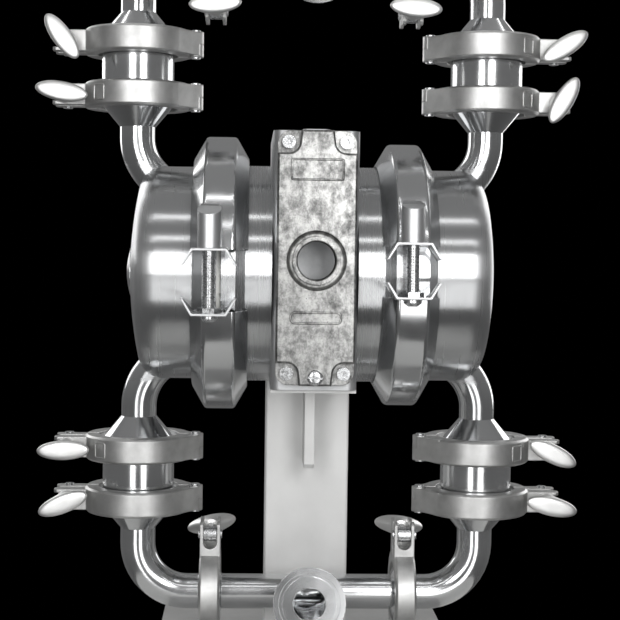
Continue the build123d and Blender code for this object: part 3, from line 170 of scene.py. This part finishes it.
# Centre block with the air valve on its back and the inner pistons: sand cast
# or machined aluminium, shot blasted to a fine dull grain with softened edges.
def blasted_alloy():
    """Shot blasted aluminium casting: dull light grey, fine even grain."""
    material, tree, shader, place = new_finish("shot_blasted_aluminium", 0.9, 0.45, "#b9babb")
    clouds = noise(tree, place, (18, 18, 18), 5.0)
    tree.links.new(blend_colours(tree, clouds, [(0.3, "#a6a7a8"), (0.7, "#c0c1c2")]),
                   shader.inputs["Base Color"])
    grain = noise(tree, place, (0.9, 0.9, 0.9), 3.0, 0.6)
    tree.links.new(spread(tree, grain, 0.4, 0.55), shader.inputs["Roughness"])
    relief(tree, shader, grain, 0.15, 0.25, 0.8)
    return material


dress(blasted_alloy(), "center_block", "air_valve_body", "air_valve_caps", "inner_pistons")


# Front cover: an aluminium casting plated with bright nickel. The plating
# keeps the mottled skin of the casting, so reflections break up in patches.
EXHAUST_Z = 0.2955


def distance_from(tree, place, height, kept):
    """Distance from a level line at that height, over the axes marked 1 in kept."""
    across = add_node(tree, "ShaderNodeMapping", Vector=place, Location=(0, 0, -height),
                      Scale=kept).outputs["Vector"]
    reach = add_node(tree, "ShaderNodeVectorMath", {"operation": "LENGTH"})
    tree.links.new(across, reach.inputs[0])
    return reach.outputs["Value"]


def mixed_colours(tree, factor, first, second, how="MIX"):
    """Two colours mixed by a factor. The colour sockets of the Mix node have no names."""
    first_socket, second_socket, result_socket = 6, 7, 2
    tone = add_node(tree, "ShaderNodeMix", {"data_type": "RGBA", "blend_type": how}, Factor=factor)
    for socket, colour in ((first_socket, first), (second_socket, second)):
        if isinstance(colour, bpy.types.NodeSocket):
            tree.links.new(colour, tone.inputs[socket])
        else:
            tone.inputs[socket].default_value = linear(colour)
    return tone.outputs[result_socket]


def summed(tree, first, second):
    """Two values added."""
    total = add_node(tree, "ShaderNodeMath", {"operation": "ADD"})
    tree.links.new(first, total.inputs[0])
    tree.links.new(second, total.inputs[1])
    return total.outputs["Value"]


def nickel_plating():
    """Bright nickel over a cast skin: shiny, mottled in patches of a few millimetres."""
    material, tree, shader, place = new_finish("nickel_plated_casting", 1.0, 0.3, "#d6d6d4")
    patches = noise(tree, place, (9, 9, 12), 8.0, 0.78)
    tree.links.new(spread(tree, patches, 0.46, 0.24), shader.inputs["Roughness"])
    skin = blend_colours(tree, patches, [(0.34, "#474746"), (0.46, "#7d7d7c"),
                                         (0.6, "#b9b9b7")])
    # Painted shade: a dark band on the outer part of the exhaust ring and a lighter one at the
    # edge of the bore stand in for the shade of an undercut and of the bore.
    reach = distance_from(tree, place, EXHAUST_Z, (1, 0, 1))
    bore_radius, ring_foot = 0.013, 0.023
    painted_ring_shade = blend_colours(tree, spread(tree, reach, 0.0, 1.0, bore_radius, ring_foot),
                          [(0.0, "#8a8a89"), (0.08, "#ffffff"), (0.38, "#ffffff"),
                           (0.5, "#6e6e6d"), (0.64, "#5c5c5b"), (0.72, "#ffffff")])
    tree.links.new(mixed_colours(tree, 1.0, skin, painted_ring_shade, "MULTIPLY"), shader.inputs["Base Color"])
    relief(tree, shader, noise(tree, place, (2.2, 2.2, 2.2), 4.0), 0.1, 0.25, 0.9)
    return material


nickel = nickel_plating()
dress(nickel, "front_cover")
cover_low, cover_high = (Vector(corner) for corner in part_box("front_cover"))
PANEL_Y = cover_low.y + 0.002      # the ring round the exhaust stands 2 mm proud of the panel
COVER_Z = (cover_low.z + cover_high.z) / 2


def finished(name, mesh, material, body, replaced=None):
    """Make an object of a mesh that is already in place, and say what it rides on."""
    mesh.materials.clear()
    mesh.materials.append(material)
    piece = bpy.data.objects.new(name, mesh)
    bpy.context.scene.collection.objects.link(piece)
    if replaced:
        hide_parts(replaced)
    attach(piece, body)
    return piece


def settled(piece):
    """Apply an object's modifiers: return the plain mesh and drop the object."""
    graph = bpy.context.evaluated_depsgraph_get()
    mesh = bpy.data.meshes.new_from_object(piece.evaluated_get(graph))
    bpy.data.objects.remove(piece)
    return mesh


def corners(width, height, corner):
    """Points round a rectangle with rounded corners, across and up from its middle."""
    points = []
    for across, up, start in ((1, 1, 0), (-1, 1, 90), (-1, -1, 180), (1, -1, 270)):
        for step in range(7):
            angle = radians(start + 15 * step)
            points.append((across * (width / 2 - corner) + corner * cos(angle),
                           up * (height / 2 - corner) + corner * sin(angle)))
    return points


def bead(name, points, radius, material):
    """A low rounded bead along a closed line of points, as one piece of the pump."""
    curve = bpy.data.curves.new(name, "CURVE")
    curve.dimensions = "3D"
    curve.bevel_depth, curve.bevel_resolution = radius, 3
    line = curve.splines.new("POLY")
    line.points.add(len(points) - 1)
    for point, place in zip(line.points, points):
        point.co = (*place, 1)
    line.use_cyclic_u = True
    holder = bpy.data.objects.new(name, curve)
    bpy.context.scene.collection.objects.link(holder)
    mesh = settled(holder)
    mesh.shade_smooth()
    return finished(name, mesh, material, "pump")


# Two plain frames are cast on the panel, above and below the exhaust. They are
# low rounded beads of the cover's own metal, plated with it.
LABEL_BEAD = 0.0008
for frame_name, width, height, corner, rise in (
    ("upper_label_frame", 0.034, 0.0132, 0.0012, 0.0583),
    ("lower_label_frame", 0.0332, 0.0071, 0.0028, -0.0392),
):
    bead(frame_name, [(x, PANEL_Y, COVER_Z + rise + z) for x, z in corners(width, height, corner)],
         LABEL_BEAD, nickel)


# Thread of the exhaust port, cut with a tap into the cover. The same rings, one
# for each turn, later make the rolled thread of the band bolts.
def thread_tree():
    """Geometry Nodes: rings of a given radius, one pitch apart along z."""
    tree = bpy.data.node_groups.new("thread_turns", "GeometryNodeTree")
    for label, kind in (("Radius", "Float"), ("Pitch", "Float"), ("Depth", "Float"),
                        ("Turns", "Int"), ("Metal", "Material")):
        tree.interface.new_socket(label, in_out="INPUT", socket_type=f"NodeSocket{kind}")
    tree.interface.new_socket("Geometry", in_out="OUTPUT", socket_type="NodeSocketGeometry")
    given = add_node(tree, "NodeGroupInput").outputs
    step = add_node(tree, "ShaderNodeCombineXYZ", Z=given["Pitch"]).outputs["Vector"]
    turns = add_node(tree, "GeometryNodeMeshLine", Count=given["Turns"], Offset=step)
    ring = add_node(tree, "GeometryNodeCurvePrimitiveCircle", Resolution=48,
                    Radius=given["Radius"]).outputs["Curve"]
    crest = add_node(tree, "GeometryNodeCurvePrimitiveCircle", Resolution=8,
                     Radius=given["Depth"]).outputs["Curve"]
    turn = add_node(tree, "GeometryNodeCurveToMesh", Curve=ring)
    tree.links.new(crest, turn.inputs["Profile Curve"])
    copies = add_node(tree, "GeometryNodeInstanceOnPoints", Points=turns.outputs["Mesh"],
                      Instance=turn.outputs["Mesh"])
    real = add_node(tree, "GeometryNodeRealizeInstances", Geometry=copies.outputs["Instances"])
    metal = add_node(tree, "GeometryNodeSetMaterial", Geometry=real.outputs["Geometry"],
                     Material=given["Metal"])
    tree.links.new(metal.outputs["Geometry"], add_node(tree, "NodeGroupOutput").inputs["Geometry"])
    return tree


thread_turns = thread_tree()


def thread(radius, pitch, depth, turns, foot, direction, material):
    """The mesh of a thread whose first turn is at foot and that climbs along direction."""
    holder = bpy.data.objects.new("thread", bpy.data.meshes.new("thread"))
    bpy.context.scene.collection.objects.link(holder)
    modifier = holder.modifiers.new("turns", "NODES")
    modifier.node_group = thread_turns
    values = {"Radius": radius, "Pitch": pitch, "Depth": depth, "Turns": turns,
              "Metal": material}
    for item in thread_turns.interface.items_tree:
        if item.in_out == "INPUT":
            modifier[item.identifier] = values[item.name]
    mesh = settled(holder)
    climb = direction.to_track_quat("Z", "Y").to_matrix().to_4x4()
    mesh.transform(Matrix.Translation(foot) @ climb)
    mesh.shade_smooth()
    return mesh


LEAD_IN = 0.0016           # plain chamfer before the first turn
exhaust_thread = thread(radius=0.0131, pitch=0.0018, depth=0.0005, turns=7,
                        foot=Vector((0, cover_low.y + LEAD_IN, EXHAUST_Z)),
                        direction=Vector((0, 1, 0)), material=nickel)
finished("exhaust_thread", exhaust_thread, nickel, "pump")


# Plug at the foot of the cover: a pan head screw of bright steel with one
# straight slot, screwed into the casting between its two lower pads.
SLOT_WIDTH, SLOT_TURN = 0.0013, radians(4)
PLUG_POINTS = 48           # corners round the head
# Share of the head's radius and of its height, from the seat to the crown.
PLUG_PROFILE = [(1.0, 0.0), (1.0, 0.35), (0.96, 0.6), (0.86, 0.8), (0.68, 0.92), (0.4, 0.98)]


def closed_rings(name, rings):
    """A closed smooth mesh through rings of points, flat at its first and last ring."""
    shape = bmesh.new()
    rows = [[shape.verts.new(point) for point in ring] for ring in rings]
    for lower, upper in zip(rows, rows[1:]):
        for i in range(len(lower)):
            j = (i + 1) % len(lower)
            shape.faces.new((lower[i], lower[j], upper[j], upper[i]))
    shape.faces.new(rows[0])
    shape.faces.new(rows[-1])
    bmesh.ops.recalc_face_normals(shape, faces=shape.faces)
    mesh = bpy.data.meshes.new(name)
    shape.to_mesh(mesh)
    mesh.shade_smooth()
    return mesh


def slotted_plug(name):
    """A domed pan head, cut by a slot, in the place of the CAD plug."""
    low, high = (Vector(corner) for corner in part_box("front_cover_plug"))
    middle, radius, height = (low + high) / 2, (high.x - low.x) / 2, high.y - low.y
    turns = [2 * pi * i / PLUG_POINTS for i in range(PLUG_POINTS)]
    rings = [[(middle.x + radius * share * cos(turn), high.y - height * rise,
               middle.z + radius * share * sin(turn)) for turn in turns]
             for share, rise in PLUG_PROFILE]
    head = bpy.data.objects.new(name, closed_rings(name, rings))
    cutter_mesh = bpy.data.meshes.new("slot")
    shape = bmesh.new()
    bmesh.ops.create_cube(shape, size=1.0, matrix=Matrix.Translation(
        (middle.x, low.y, middle.z)) @ Matrix.Rotation(SLOT_TURN, 4, "Y") @ Matrix.Diagonal(
        (3 * radius, height * 0.9, SLOT_WIDTH, 1)))
    shape.to_mesh(cutter_mesh)
    cutter = bpy.data.objects.new("slot", cutter_mesh)
    for piece in (head, cutter):
        bpy.context.scene.collection.objects.link(piece)
    cut = head.modifiers.new("slot", "BOOLEAN")
    cut.operation, cut.object, cut.solver = "DIFFERENCE", cutter, "EXACT"
    plain = settled(head)
    bpy.data.objects.remove(cutter)
    plain.shade_smooth()
    plain.set_sharp_from_angle(angle=radians(35))
    return finished(name, plain, fastener_steel, "pump", "front_cover_plug")


slotted_plug("slotted_plug")


# Gaskets: moulded black rubber, held between flat faces or between two
# ferrules. Their skin is dull, with a trace of the talc they were packed in.
def black_rubber():
    """Moulded rubber gasket: dull near-black."""
    material, tree, shader, place = new_finish("moulded_black_rubber", 0.0, 0.7, "#1c1c1d")
    talc = noise(tree, place, (3, 3, 3), 6.0)
    tree.links.new(blend_colours(tree, talc, [(0.35, "#171718"), (0.75, "#2b2b2c")]),
                   shader.inputs["Base Color"])
    tree.links.new(spread(tree, talc, 0.6, 0.8), shader.inputs["Roughness"])
    relief(tree, shader, talc, 0.05, 0.15)
    return material


dress(black_rubber(), "front_cover_gasket", "air_valve_gasket", "ferrule_gaskets")


# Shaft, valve spools and pilot sleeve: hardened stainless, ground along their
# length on centres, so fine grinding lines run round them.
def ground_steel():
    """Ground shaft steel: nearly a mirror, with fine lines round its axis."""
    material, tree, shader, place = new_finish("ground_shaft_steel", 1.0, 0.12, "#c8c9ca")
    lines = noise(tree, place, (0.5, 12, 12), 3.0)
    tree.links.new(spread(tree, lines, 0.08, 0.2), shader.inputs["Roughness"])
    relief(tree, shader, lines, 0.02, 0.08)
    return material


dress(ground_steel(), "shaft", "air_valve_spool", "pilot_spool", "pilot_sleeve")


# Bushings and valve seats: turned from rods of a white bearing polymer. The
# bushings are pressed into the block, and the seats lie in the housings.
def bearing_polymer():
    """Turned polymer: waxy ivory with faint tool marks."""
    material, tree, shader, place = new_finish("turned_white_polymer", 0.0, 0.4, "#dedbd0")
    marks = noise(tree, place, (9, 9, 0.6), 3.0)
    tree.links.new(blend_colours(tree, marks, [(0.3, "#d8d5ca"), (0.7, "#e3e1d8")]),
                   shader.inputs["Base Color"])
    tree.links.new(spread(tree, marks, 0.34, 0.48), shader.inputs["Roughness"])
    relief(tree, shader, marks, 0.03, 0.1)
    return material


dress(bearing_polymer(), "shaft_bushings", "valve_seats")


# Air chambers: stainless drums between the block and the band clamps. They are
# turned and left satin, with the fine lines of the tool running round them.
def brushed_round_x(tree, shader):
    """Make the shine wide along the pump axis and narrow round it."""
    around = add_node(tree, "ShaderNodeTangent", {"direction_type": "RADIAL", "axis": "X"})
    tree.links.new(around.outputs["Tangent"], shader.inputs["Tangent"])
    shader.inputs["Anisotropic"].default_value = 0.95
    shader.inputs["Anisotropic Rotation"].default_value = 0.25


def turned_satin():
    """Turned stainless drum: lines round the pump axis spread its shine sideways."""
    material, tree, shader, place = new_finish("turned_satin_steel", 1.0, 0.27, "#bfc0c1")
    lines = noise(tree, place, (1.2, 90, 90), 2.0)
    tree.links.new(spread(tree, lines, 0.26, 0.28), shader.inputs["Roughness"])
    tree.links.new(blend_colours(tree, lines, [(0.3, "#bbbcbd"), (0.7, "#c3c4c5")]),
                   shader.inputs["Base Color"])
    brushed_round_x(tree, shader)
    return material


dress(turned_satin(), "left_air_chamber", "right_air_chamber")


# Diaphragms: thick white fluoropolymer discs, moulded, clamped at the rim
# between the air and liquid chambers and at the middle between the pistons.
# Each is drawn as equal sectors, because a piece can bend along one line only.
def moulded_fluoropolymer():
    """Moulded white fluoropolymer: smooth, slightly waxy."""
    material, tree, shader, place = new_finish("moulded_white_fluoropolymer", 0.0, 0.35, "#ecece8")
    clouds = noise(tree, place, (14, 14, 14), 4.0)
    tree.links.new(blend_colours(tree, clouds, [(0.3, "#e6e6e1"), (0.7, "#f0f0ed")]),
                   shader.inputs["Base Color"])
    tree.links.new(spread(tree, clouds, 0.3, 0.42), shader.inputs["Roughness"])
    relief(tree, shader, clouds, 0.05, 0.05)
    return material


fluoropolymer = moulded_fluoropolymer()
PUMP_AXIS = Vector((0, 0, 0.285))
MERGED = 1e-6              # corners of the CAD triangles closer than this are one
SECTORS = 16


def flexing_sector(disc, number):
    """One sector of a diaphragm, which bends between the clamped rim and the pistons."""
    half = pi / SECTORS
    angle = 2 * half * number
    shape = bmesh.new()
    shape.from_mesh(nodes[disc].data)
    bmesh.ops.remove_doubles(shape, verts=shape.verts, dist=MERGED)
    for edge, side in ((angle + half, 1), (angle - half, -1)):
        bmesh.ops.bisect_plane(
            shape, geom=shape.verts[:] + shape.edges[:] + shape.faces[:], clear_outer=True,
            plane_co=PUMP_AXIS, plane_no=(0, -side * sin(edge), side * cos(edge)))
    bmesh.ops.holes_fill(shape, edges=[edge for edge in shape.edges if edge.is_boundary], sides=0)
    bmesh.ops.recalc_face_normals(shape, faces=shape.faces)
    name = f"{disc}_sector_{number + 1}"
    mesh = bpy.data.meshes.new(name)
    shape.to_mesh(mesh)
    mesh.shade_smooth()
    mesh.set_sharp_from_angle(angle=radians(35))
    mesh.materials.clear()
    mesh.materials.append(fluoropolymer)
    sector = bpy.data.objects.new(name, mesh)
    bpy.context.scene.collection.objects.link(sector)
    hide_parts(disc)
    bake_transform(sector)


for disc_name in ("left_diaphragm", "right_diaphragm"):
    for sector_number in range(SECTORS):
        flexing_sector(disc_name, sector_number)


# Liquid chambers with their elbows, valve housings, manifold and outer
# pistons: stainless sheet and tube, spun, bent and welded, then ground and
# mirror polished. The welds are ground flush.
PORT_FACE_Y, FERRULE_BACK_Y = -0.0525, -0.0505
DOME_EDGE, ELBOW_START = 0.0765, 0.080      # radii from the pump axis


def mirror_polish():
    """Mirror polished stainless with a soft haze; the ports' sealing faces are turned."""
    material, tree, shader, place = new_finish("mirror_polished_stainless", 1.0, 0.1, "#cfd0d1")
    haze = noise(tree, place, (24, 24, 24), 5.0)
    forward = add_node(tree, "ShaderNodeSeparateXYZ", Vector=place).outputs["Y"]
    turned_face = spread(tree, forward, 0.04, 0.0, PORT_FACE_Y, FERRULE_BACK_Y)
    tree.links.new(summed(tree, spread(tree, haze, 0.12, 0.19), turned_face),
                   shader.inputs["Roughness"])
    tree.links.new(blend_colours(tree, haze, [(0.3, "#c9cacb"), (0.7, "#d5d6d7")]),
                   shader.inputs["Base Color"])
    relief(tree, shader, noise(tree, place, (9, 9, 9), 2.0), 0.03, 0.12, 0.3)
    return material


def spun_dome():
    """Spun dome, brushed round the pump axis; its welded elbows are mirror polished."""
    material, tree, shader, place = new_finish("spun_and_brushed_stainless", 1.0, 0.28, "#c4c5c6")
    reach = distance_from(tree, place, PUMP_AXIS.z, (0, 1, 1))
    lines = noise(tree, place, (1.2, 80, 80), 3.0)
    dome = spread(tree, lines, 0.27, 0.31)
    elbow = spread(tree, noise(tree, place, (24, 24, 24), 5.0), 0.1, 0.15)
    share = spread(tree, reach, 0.0, 1.0, DOME_EDGE, ELBOW_START)
    dome_socket, elbow_socket, result_socket = 2, 3, 0
    finish = add_node(tree, "ShaderNodeMix", {"data_type": "FLOAT"}, Factor=share)
    tree.links.new(dome, finish.inputs[dome_socket])
    tree.links.new(elbow, finish.inputs[elbow_socket])
    tree.links.new(finish.outputs[result_socket], shader.inputs["Roughness"])
    brushed_round_x(tree, shader)
    return material


dress(mirror_polish(), "valve_housings", "manifold_elbows", "discharge_tee", "suction_tee",
      "outer_pistons")
dress(spun_dome(), "left_liquid_chamber", "right_liquid_chamber")


# Balls: white rubber, moulded in two halves and ground round, so no seam is
# left. They are loose on their seats and have a soft bloom.
def ground_rubber():
    """Ground white rubber ball: matt, finely mottled."""
    material, tree, shader, place = new_finish("ground_white_rubber", 0.0, 0.6, "#deded9")
    bloom = noise(tree, place, (2, 2, 2), 5.0)
    tree.links.new(blend_colours(tree, bloom, [(0.3, "#d5d5cf"), (0.7, "#e4e4e0")]),
                   shader.inputs["Base Color"])
    tree.links.new(spread(tree, bloom, 0.5, 0.7), shader.inputs["Roughness"])
    relief(tree, shader, bloom, 0.05, 0.15)
    return material


dress(ground_rubber(), "ball_discharge_left", "ball_discharge_right", "ball_suction_left",
      "ball_suction_right")


# Band clamps: half rings of 2 mm stainless strip, roll formed to a deep V and
# polished. Forming leaves the strip faintly wavy, so its reflections bend.
BAND_RIM, SADDLE_START = 0.0935, 0.0965     # distances in front of or behind the pump axis


def polished_strip():
    """Polished formed strip: mirror bright, faintly wavy."""
    material, tree, shader, place = new_finish("polished_formed_strip", 1.0, 0.15, "#c9cacb")
    waves = noise(tree, place, (16, 16, 16), 2.0)
    # The saddles and barrels were bent and welded on after polishing: they are satin.
    forward = add_node(tree, "ShaderNodeSeparateXYZ", Vector=place).outputs["Y"]
    outward = add_node(tree, "ShaderNodeMath", {"operation": "ABSOLUTE"})
    tree.links.new(forward, outward.inputs[0])
    satin = spread(tree, outward.outputs["Value"], 0.0, 0.26, BAND_RIM, SADDLE_START)
    tree.links.new(summed(tree, spread(tree, waves, 0.12, 0.2), satin),
                   shader.inputs["Roughness"])
    relief(tree, shader, waves, 0.12, 0.15, 0.9)
    return material


dress(polished_strip(), "band_upper_halves", "band_lower_halves")


# Rolled thread of the four 8 mm band bolts, bright stainless, bare between the
# saddles of each band. It is drawn a little coarse and deep, or it wouldn't show.
# For each band: middle of its bolts, angle it was turned up and gap for a bolt.
PITCH, BOLT_REACH = 0.00175, 0.098
LOWER_MARGIN, BOTH_MARGINS = 0.0036, 0.0042     # parts of the gap that stay without thread
thread_steel = bright_fastener("rolled_thread_steel", 0.0)
for band, bolt_x, clock, gap in (("left", -0.0703, radians(-2.2), 0.0408),
                                 ("right", 0.0628, radians(2.6), 0.0340)):
    along = Vector((0, sin(clock), cos(clock)))
    turns = int((gap - BOTH_MARGINS) / PITCH)
    for end, out in (("front", -1), ("back", 1)):
        middle = Vector((bolt_x, out * BOLT_REACH * cos(clock),
                         PUMP_AXIS.z - out * BOLT_REACH * sin(clock)))
        foot = middle + along * (LOWER_MARGIN - gap / 2)
        bolt_thread = thread(radius=0.0038, pitch=PITCH, depth=0.0006, turns=turns, foot=foot,
                             direction=along, material=thread_steel)
        finished(f"bolt_thread_{band}_{end}", bolt_thread, thread_steel, "pump")


# Hinged clamps: investment cast stainless, bead blasted to an even dull grey.
# The blasting rounds every edge and leaves a fine grain.
def blasted_casting():
    """Bead blasted stainless casting: mid-grey, matt sheen, softened edges."""
    material, tree, shader, place = new_finish("bead_blasted_casting", 1.0, 0.36, "#c0c0bf")
    clouds = noise(tree, place, (10, 10, 10), 5.0)
    tree.links.new(blend_colours(tree, clouds, [(0.3, "#b4b4b3"), (0.7, "#cacac9")]),
                   shader.inputs["Base Color"])
    grit = noise(tree, place, (0.9, 0.9, 0.9), 3.0, 0.6)
    tree.links.new(spread(tree, grit, 0.38, 0.5), shader.inputs["Roughness"])
    relief(tree, shader, grit, 0.1, 0.35, 1.1)
    return material


casting = blasted_casting()
dress(casting, "housing_clamp_front_halves", "housing_clamp_rear_halves",
      "pipe_clamp_front_halves", "pipe_clamp_rear_halves")
# Five clamps have a plain framed pad on the ring, on the side of their nut. It is
# part of the casting, drawn as a low bead bent round the ring.
RING_RADIUS, PAD_TURN, PAD_BEAD = 0.038, radians(41), 0.0005
for pad, column_x, joint_z in (("discharge_left_inner", -0.125, 0.125),
                               ("discharge_right_inner", 0.125, 0.125),
                               ("discharge_right_outer", 0.125, 0.1626),
                               ("suction_left_inner", -0.1225, -0.125),
                               ("suction_right_inner", 0.1225, -0.125)):
    points = []
    for across, up in corners(0.0095, 0.0105, 0.0012):
        turn = (1 if column_x > 0 else -1) * PAD_TURN + across / RING_RADIUS
        points.append((column_x + RING_RADIUS * sin(turn), -RING_RADIUS * cos(turn),
                       PUMP_AXIS.z + joint_z + up))
    bead(f"pad_{pad}", points, PAD_BEAD, casting)


# Wing nuts: small stainless castings, tumbled to a pale satin. A round hub
# flares into a smooth oval face that fingers can turn. Each replaces its CAD nut.
def tumbled_casting():
    """Tumbled stainless casting: pale satin, smooth."""
    material, tree, shader, place = new_finish("tumbled_satin_casting", 1.0, 0.42, "#dcdcdb")
    clouds = noise(tree, place, (5, 5, 5), 4.0)
    tree.links.new(spread(tree, clouds, 0.36, 0.48), shader.inputs["Roughness"])
    relief(tree, shader, noise(tree, place, (0.8, 0.8, 0.8), 2.0), 0.04, 0.1)
    return material


tumbled = tumbled_casting()
# Height from the seat, then half sizes along and across the wing, in millimetres.
NUT_PROFILE = [(0.0, 6.5, 6.5), (0.25, 6.75, 6.75), (3.0, 6.8, 6.75), (5.0, 7.9, 6.65),
               (7.5, 10.4, 6.6), (10.5, 13.7, 6.65), (13.0, 16.1, 6.7), (15.0, 17.7, 6.75),
               (16.4, 18.28, 6.78), (17.3, 18.1, 6.6), (17.9, 17.6, 6.25), (18.3, 16.8, 5.75),
               (18.6, 15.4, 5.05), (18.8, 13.0, 4.1), (18.93, 10.0, 3.1), (18.98, 6.0, 2.0),
               (19.0, 2.0, 0.7)]
NUT_POINTS = 56            # corners round the nut
# Angle in degrees at which each nut was left when it was tightened.
NUT_TURNS = {
    "discharge_left_outer": -54, "discharge_left_inner": -9,
    "discharge_right_outer": 33, "discharge_right_inner": 60,
    "suction_left_inner": 2, "suction_left_outer": 22,
    "suction_right_inner": -25, "suction_right_outer": -12,
    "pipe_discharge_left": 4, "pipe_discharge_right": -4,
    "pipe_suction_left": 13, "pipe_suction_right": -7,
}


def wing_nut(name, turn):
    """A smooth oval nut inside the CAD nut, turned to where it was tightened."""
    low, high = (Vector(corner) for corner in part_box(f"wing_nut_{name}"))
    middle = (low + high) / 2
    out = 1 if middle.y > 0 else -1
    seat = low.y if out == 1 else high.y
    around = [2 * pi * i / NUT_POINTS for i in range(NUT_POINTS)]
    rings = []
    for height, along, across in NUT_PROFILE:
        ring = []
        for angle in around:
            x, z = along * cos(angle), across * sin(angle)
            ring.append((middle.x + (x * cos(turn) - z * sin(turn)) / 1000,
                         seat + out * height / 1000,
                         middle.z + (x * sin(turn) + z * cos(turn)) / 1000))
        rings.append(ring)
    return finished(f"nut_{name}", closed_rings(f"nut_{name}", rings), tumbled,
                    f"wing_nut_{name}", f"wing_nut_{name}")


for nut_name, degrees_up in NUT_TURNS.items():
    wing_nut(nut_name, radians(degrees_up))


# Camera and light: the photograph's viewpoint, about a metre away and a
# little above the pump axis, with a tall and a low soft box on each side of
# it, two behind the pump, thin strips above and a grey tent round the rest.
camera_data = bpy.data.cameras.new("view")
camera_data.lens = 80.4
camera_data.sensor_width = 36
camera = bpy.data.objects.new("view", camera_data)
bpy.context.scene.collection.objects.link(camera)
bpy.context.scene.camera = camera
azimuth, distance, eye_rise, aim_drop = radians(-2.5), 1.0, 0.0188, 0.0259
eye = PUMP_AXIS + Vector((sin(azimuth) * distance, -cos(azimuth) * distance, eye_rise))
aim = Vector((0, 0, PUMP_AXIS.z - aim_drop))
roll = Matrix.Rotation(radians(0.8), 4, "Z")
look = (aim - eye).to_track_quat("-Z", "Y").to_matrix().to_4x4()
camera.matrix_world = Matrix.Translation(eye) @ look @ roll


def soft_box(name, place, width, height, power):
    """A rectangular area lamp that faces the middle of the pump, in watts."""
    data = bpy.data.lights.new(name, "AREA")
    data.shape = "RECTANGLE"
    data.size, data.size_y, data.energy = width, height, power
    lamp = bpy.data.objects.new(name, data)
    lamp.location = place
    lamp.rotation_mode = "QUATERNION"
    lamp.rotation_quaternion = (PUMP_AXIS - Vector(place)).to_track_quat("-Z", "Y")
    bpy.context.scene.collection.objects.link(lamp)


soft_box("left_box", (-0.37, -1.08, 0.48), 0.28, 0.42, 3.3)
soft_box("right_box", (0.25, -0.96, 0.48), 0.28, 0.42, 3.3)
soft_box("left_foot_box", (-0.37, -1.08, -0.03), 0.28, 0.5, 1.3)
soft_box("right_foot_box", (0.25, -0.96, -0.03), 0.28, 0.5, 1.3)
soft_box("back_left_box", (-0.9, 1.0, 0.75), 0.7, 0.9, 5.0)
soft_box("back_right_box", (0.9, 0.9, 0.55), 0.7, 0.9, 5.0)
STRIP_REACH, STRIP_LENGTH, STRIP_WIDTH = 1.0, 1.3, 0.04
for strip_name, elevation, strip_power in (("low_strip", 36.5, 0.7), ("high_strip", 60.5, 0.7),
                                           ("top_strip", 103, 1.2)):
    raised = radians(elevation)
    soft_box(strip_name, (0, -cos(raised) * STRIP_REACH,
                          PUMP_AXIS.z + sin(raised) * STRIP_REACH),
             STRIP_LENGTH, STRIP_WIDTH, strip_power)
world = bpy.data.worlds.new("studio")
world.use_nodes = True
sky = world.node_tree
direction = add_node(sky, "ShaderNodeTexCoord").outputs["Generated"]
upward = add_node(sky, "ShaderNodeSeparateXYZ", Vector=direction).outputs["Z"]
tent = blend_colours(sky, spread(sky, upward, 0.0, 1.0, -1.0, 1.0),
                     [(0.0, "#565656"), (0.45, "#6e6e6e"), (0.6, "#7e7e7e"), (1.0, "#969696")])
seen = add_node(sky, "ShaderNodeLightPath").outputs["Is Camera Ray"]
sky.links.new(mixed_colours(sky, seen, tent, "#000000"), sky.nodes["Background"].inputs["Color"])
bpy.context.scene.world = world
bpy.context.scene.view_settings.view_transform = "Standard"


# Floor: a pale, matt, round table top. It is small and lies forward, so that
# the camera doesn't see it, as the photograph doesn't show one.
FLOOR_RADIUS, FLOOR_FORWARD = 0.2, 0.07
floor_mesh = bpy.data.meshes.new("floor")
shape = bmesh.new()
bmesh.ops.create_circle(shape, cap_ends=True, segments=96, radius=FLOOR_RADIUS)
shape.to_mesh(floor_mesh)
floor_finish, floor_tree, floor_shader, floor_place = new_finish(
    "pale_table_top", 0.0, 0.7, "#d9d9d7")
floor_tree.links.new(blend_colours(floor_tree, noise(floor_tree, floor_place, (30, 30, 30)),
                                   [(0.3, "#d5d5d3"), (0.7, "#dcdcda")]),
                     floor_shader.inputs["Base Color"])
floor_mesh.materials.append(floor_finish)
floor = bpy.data.objects.new("floor", floor_mesh)
floor.location = (0, -FLOOR_FORWARD, 0)
bpy.context.scene.collection.objects.link(floor)
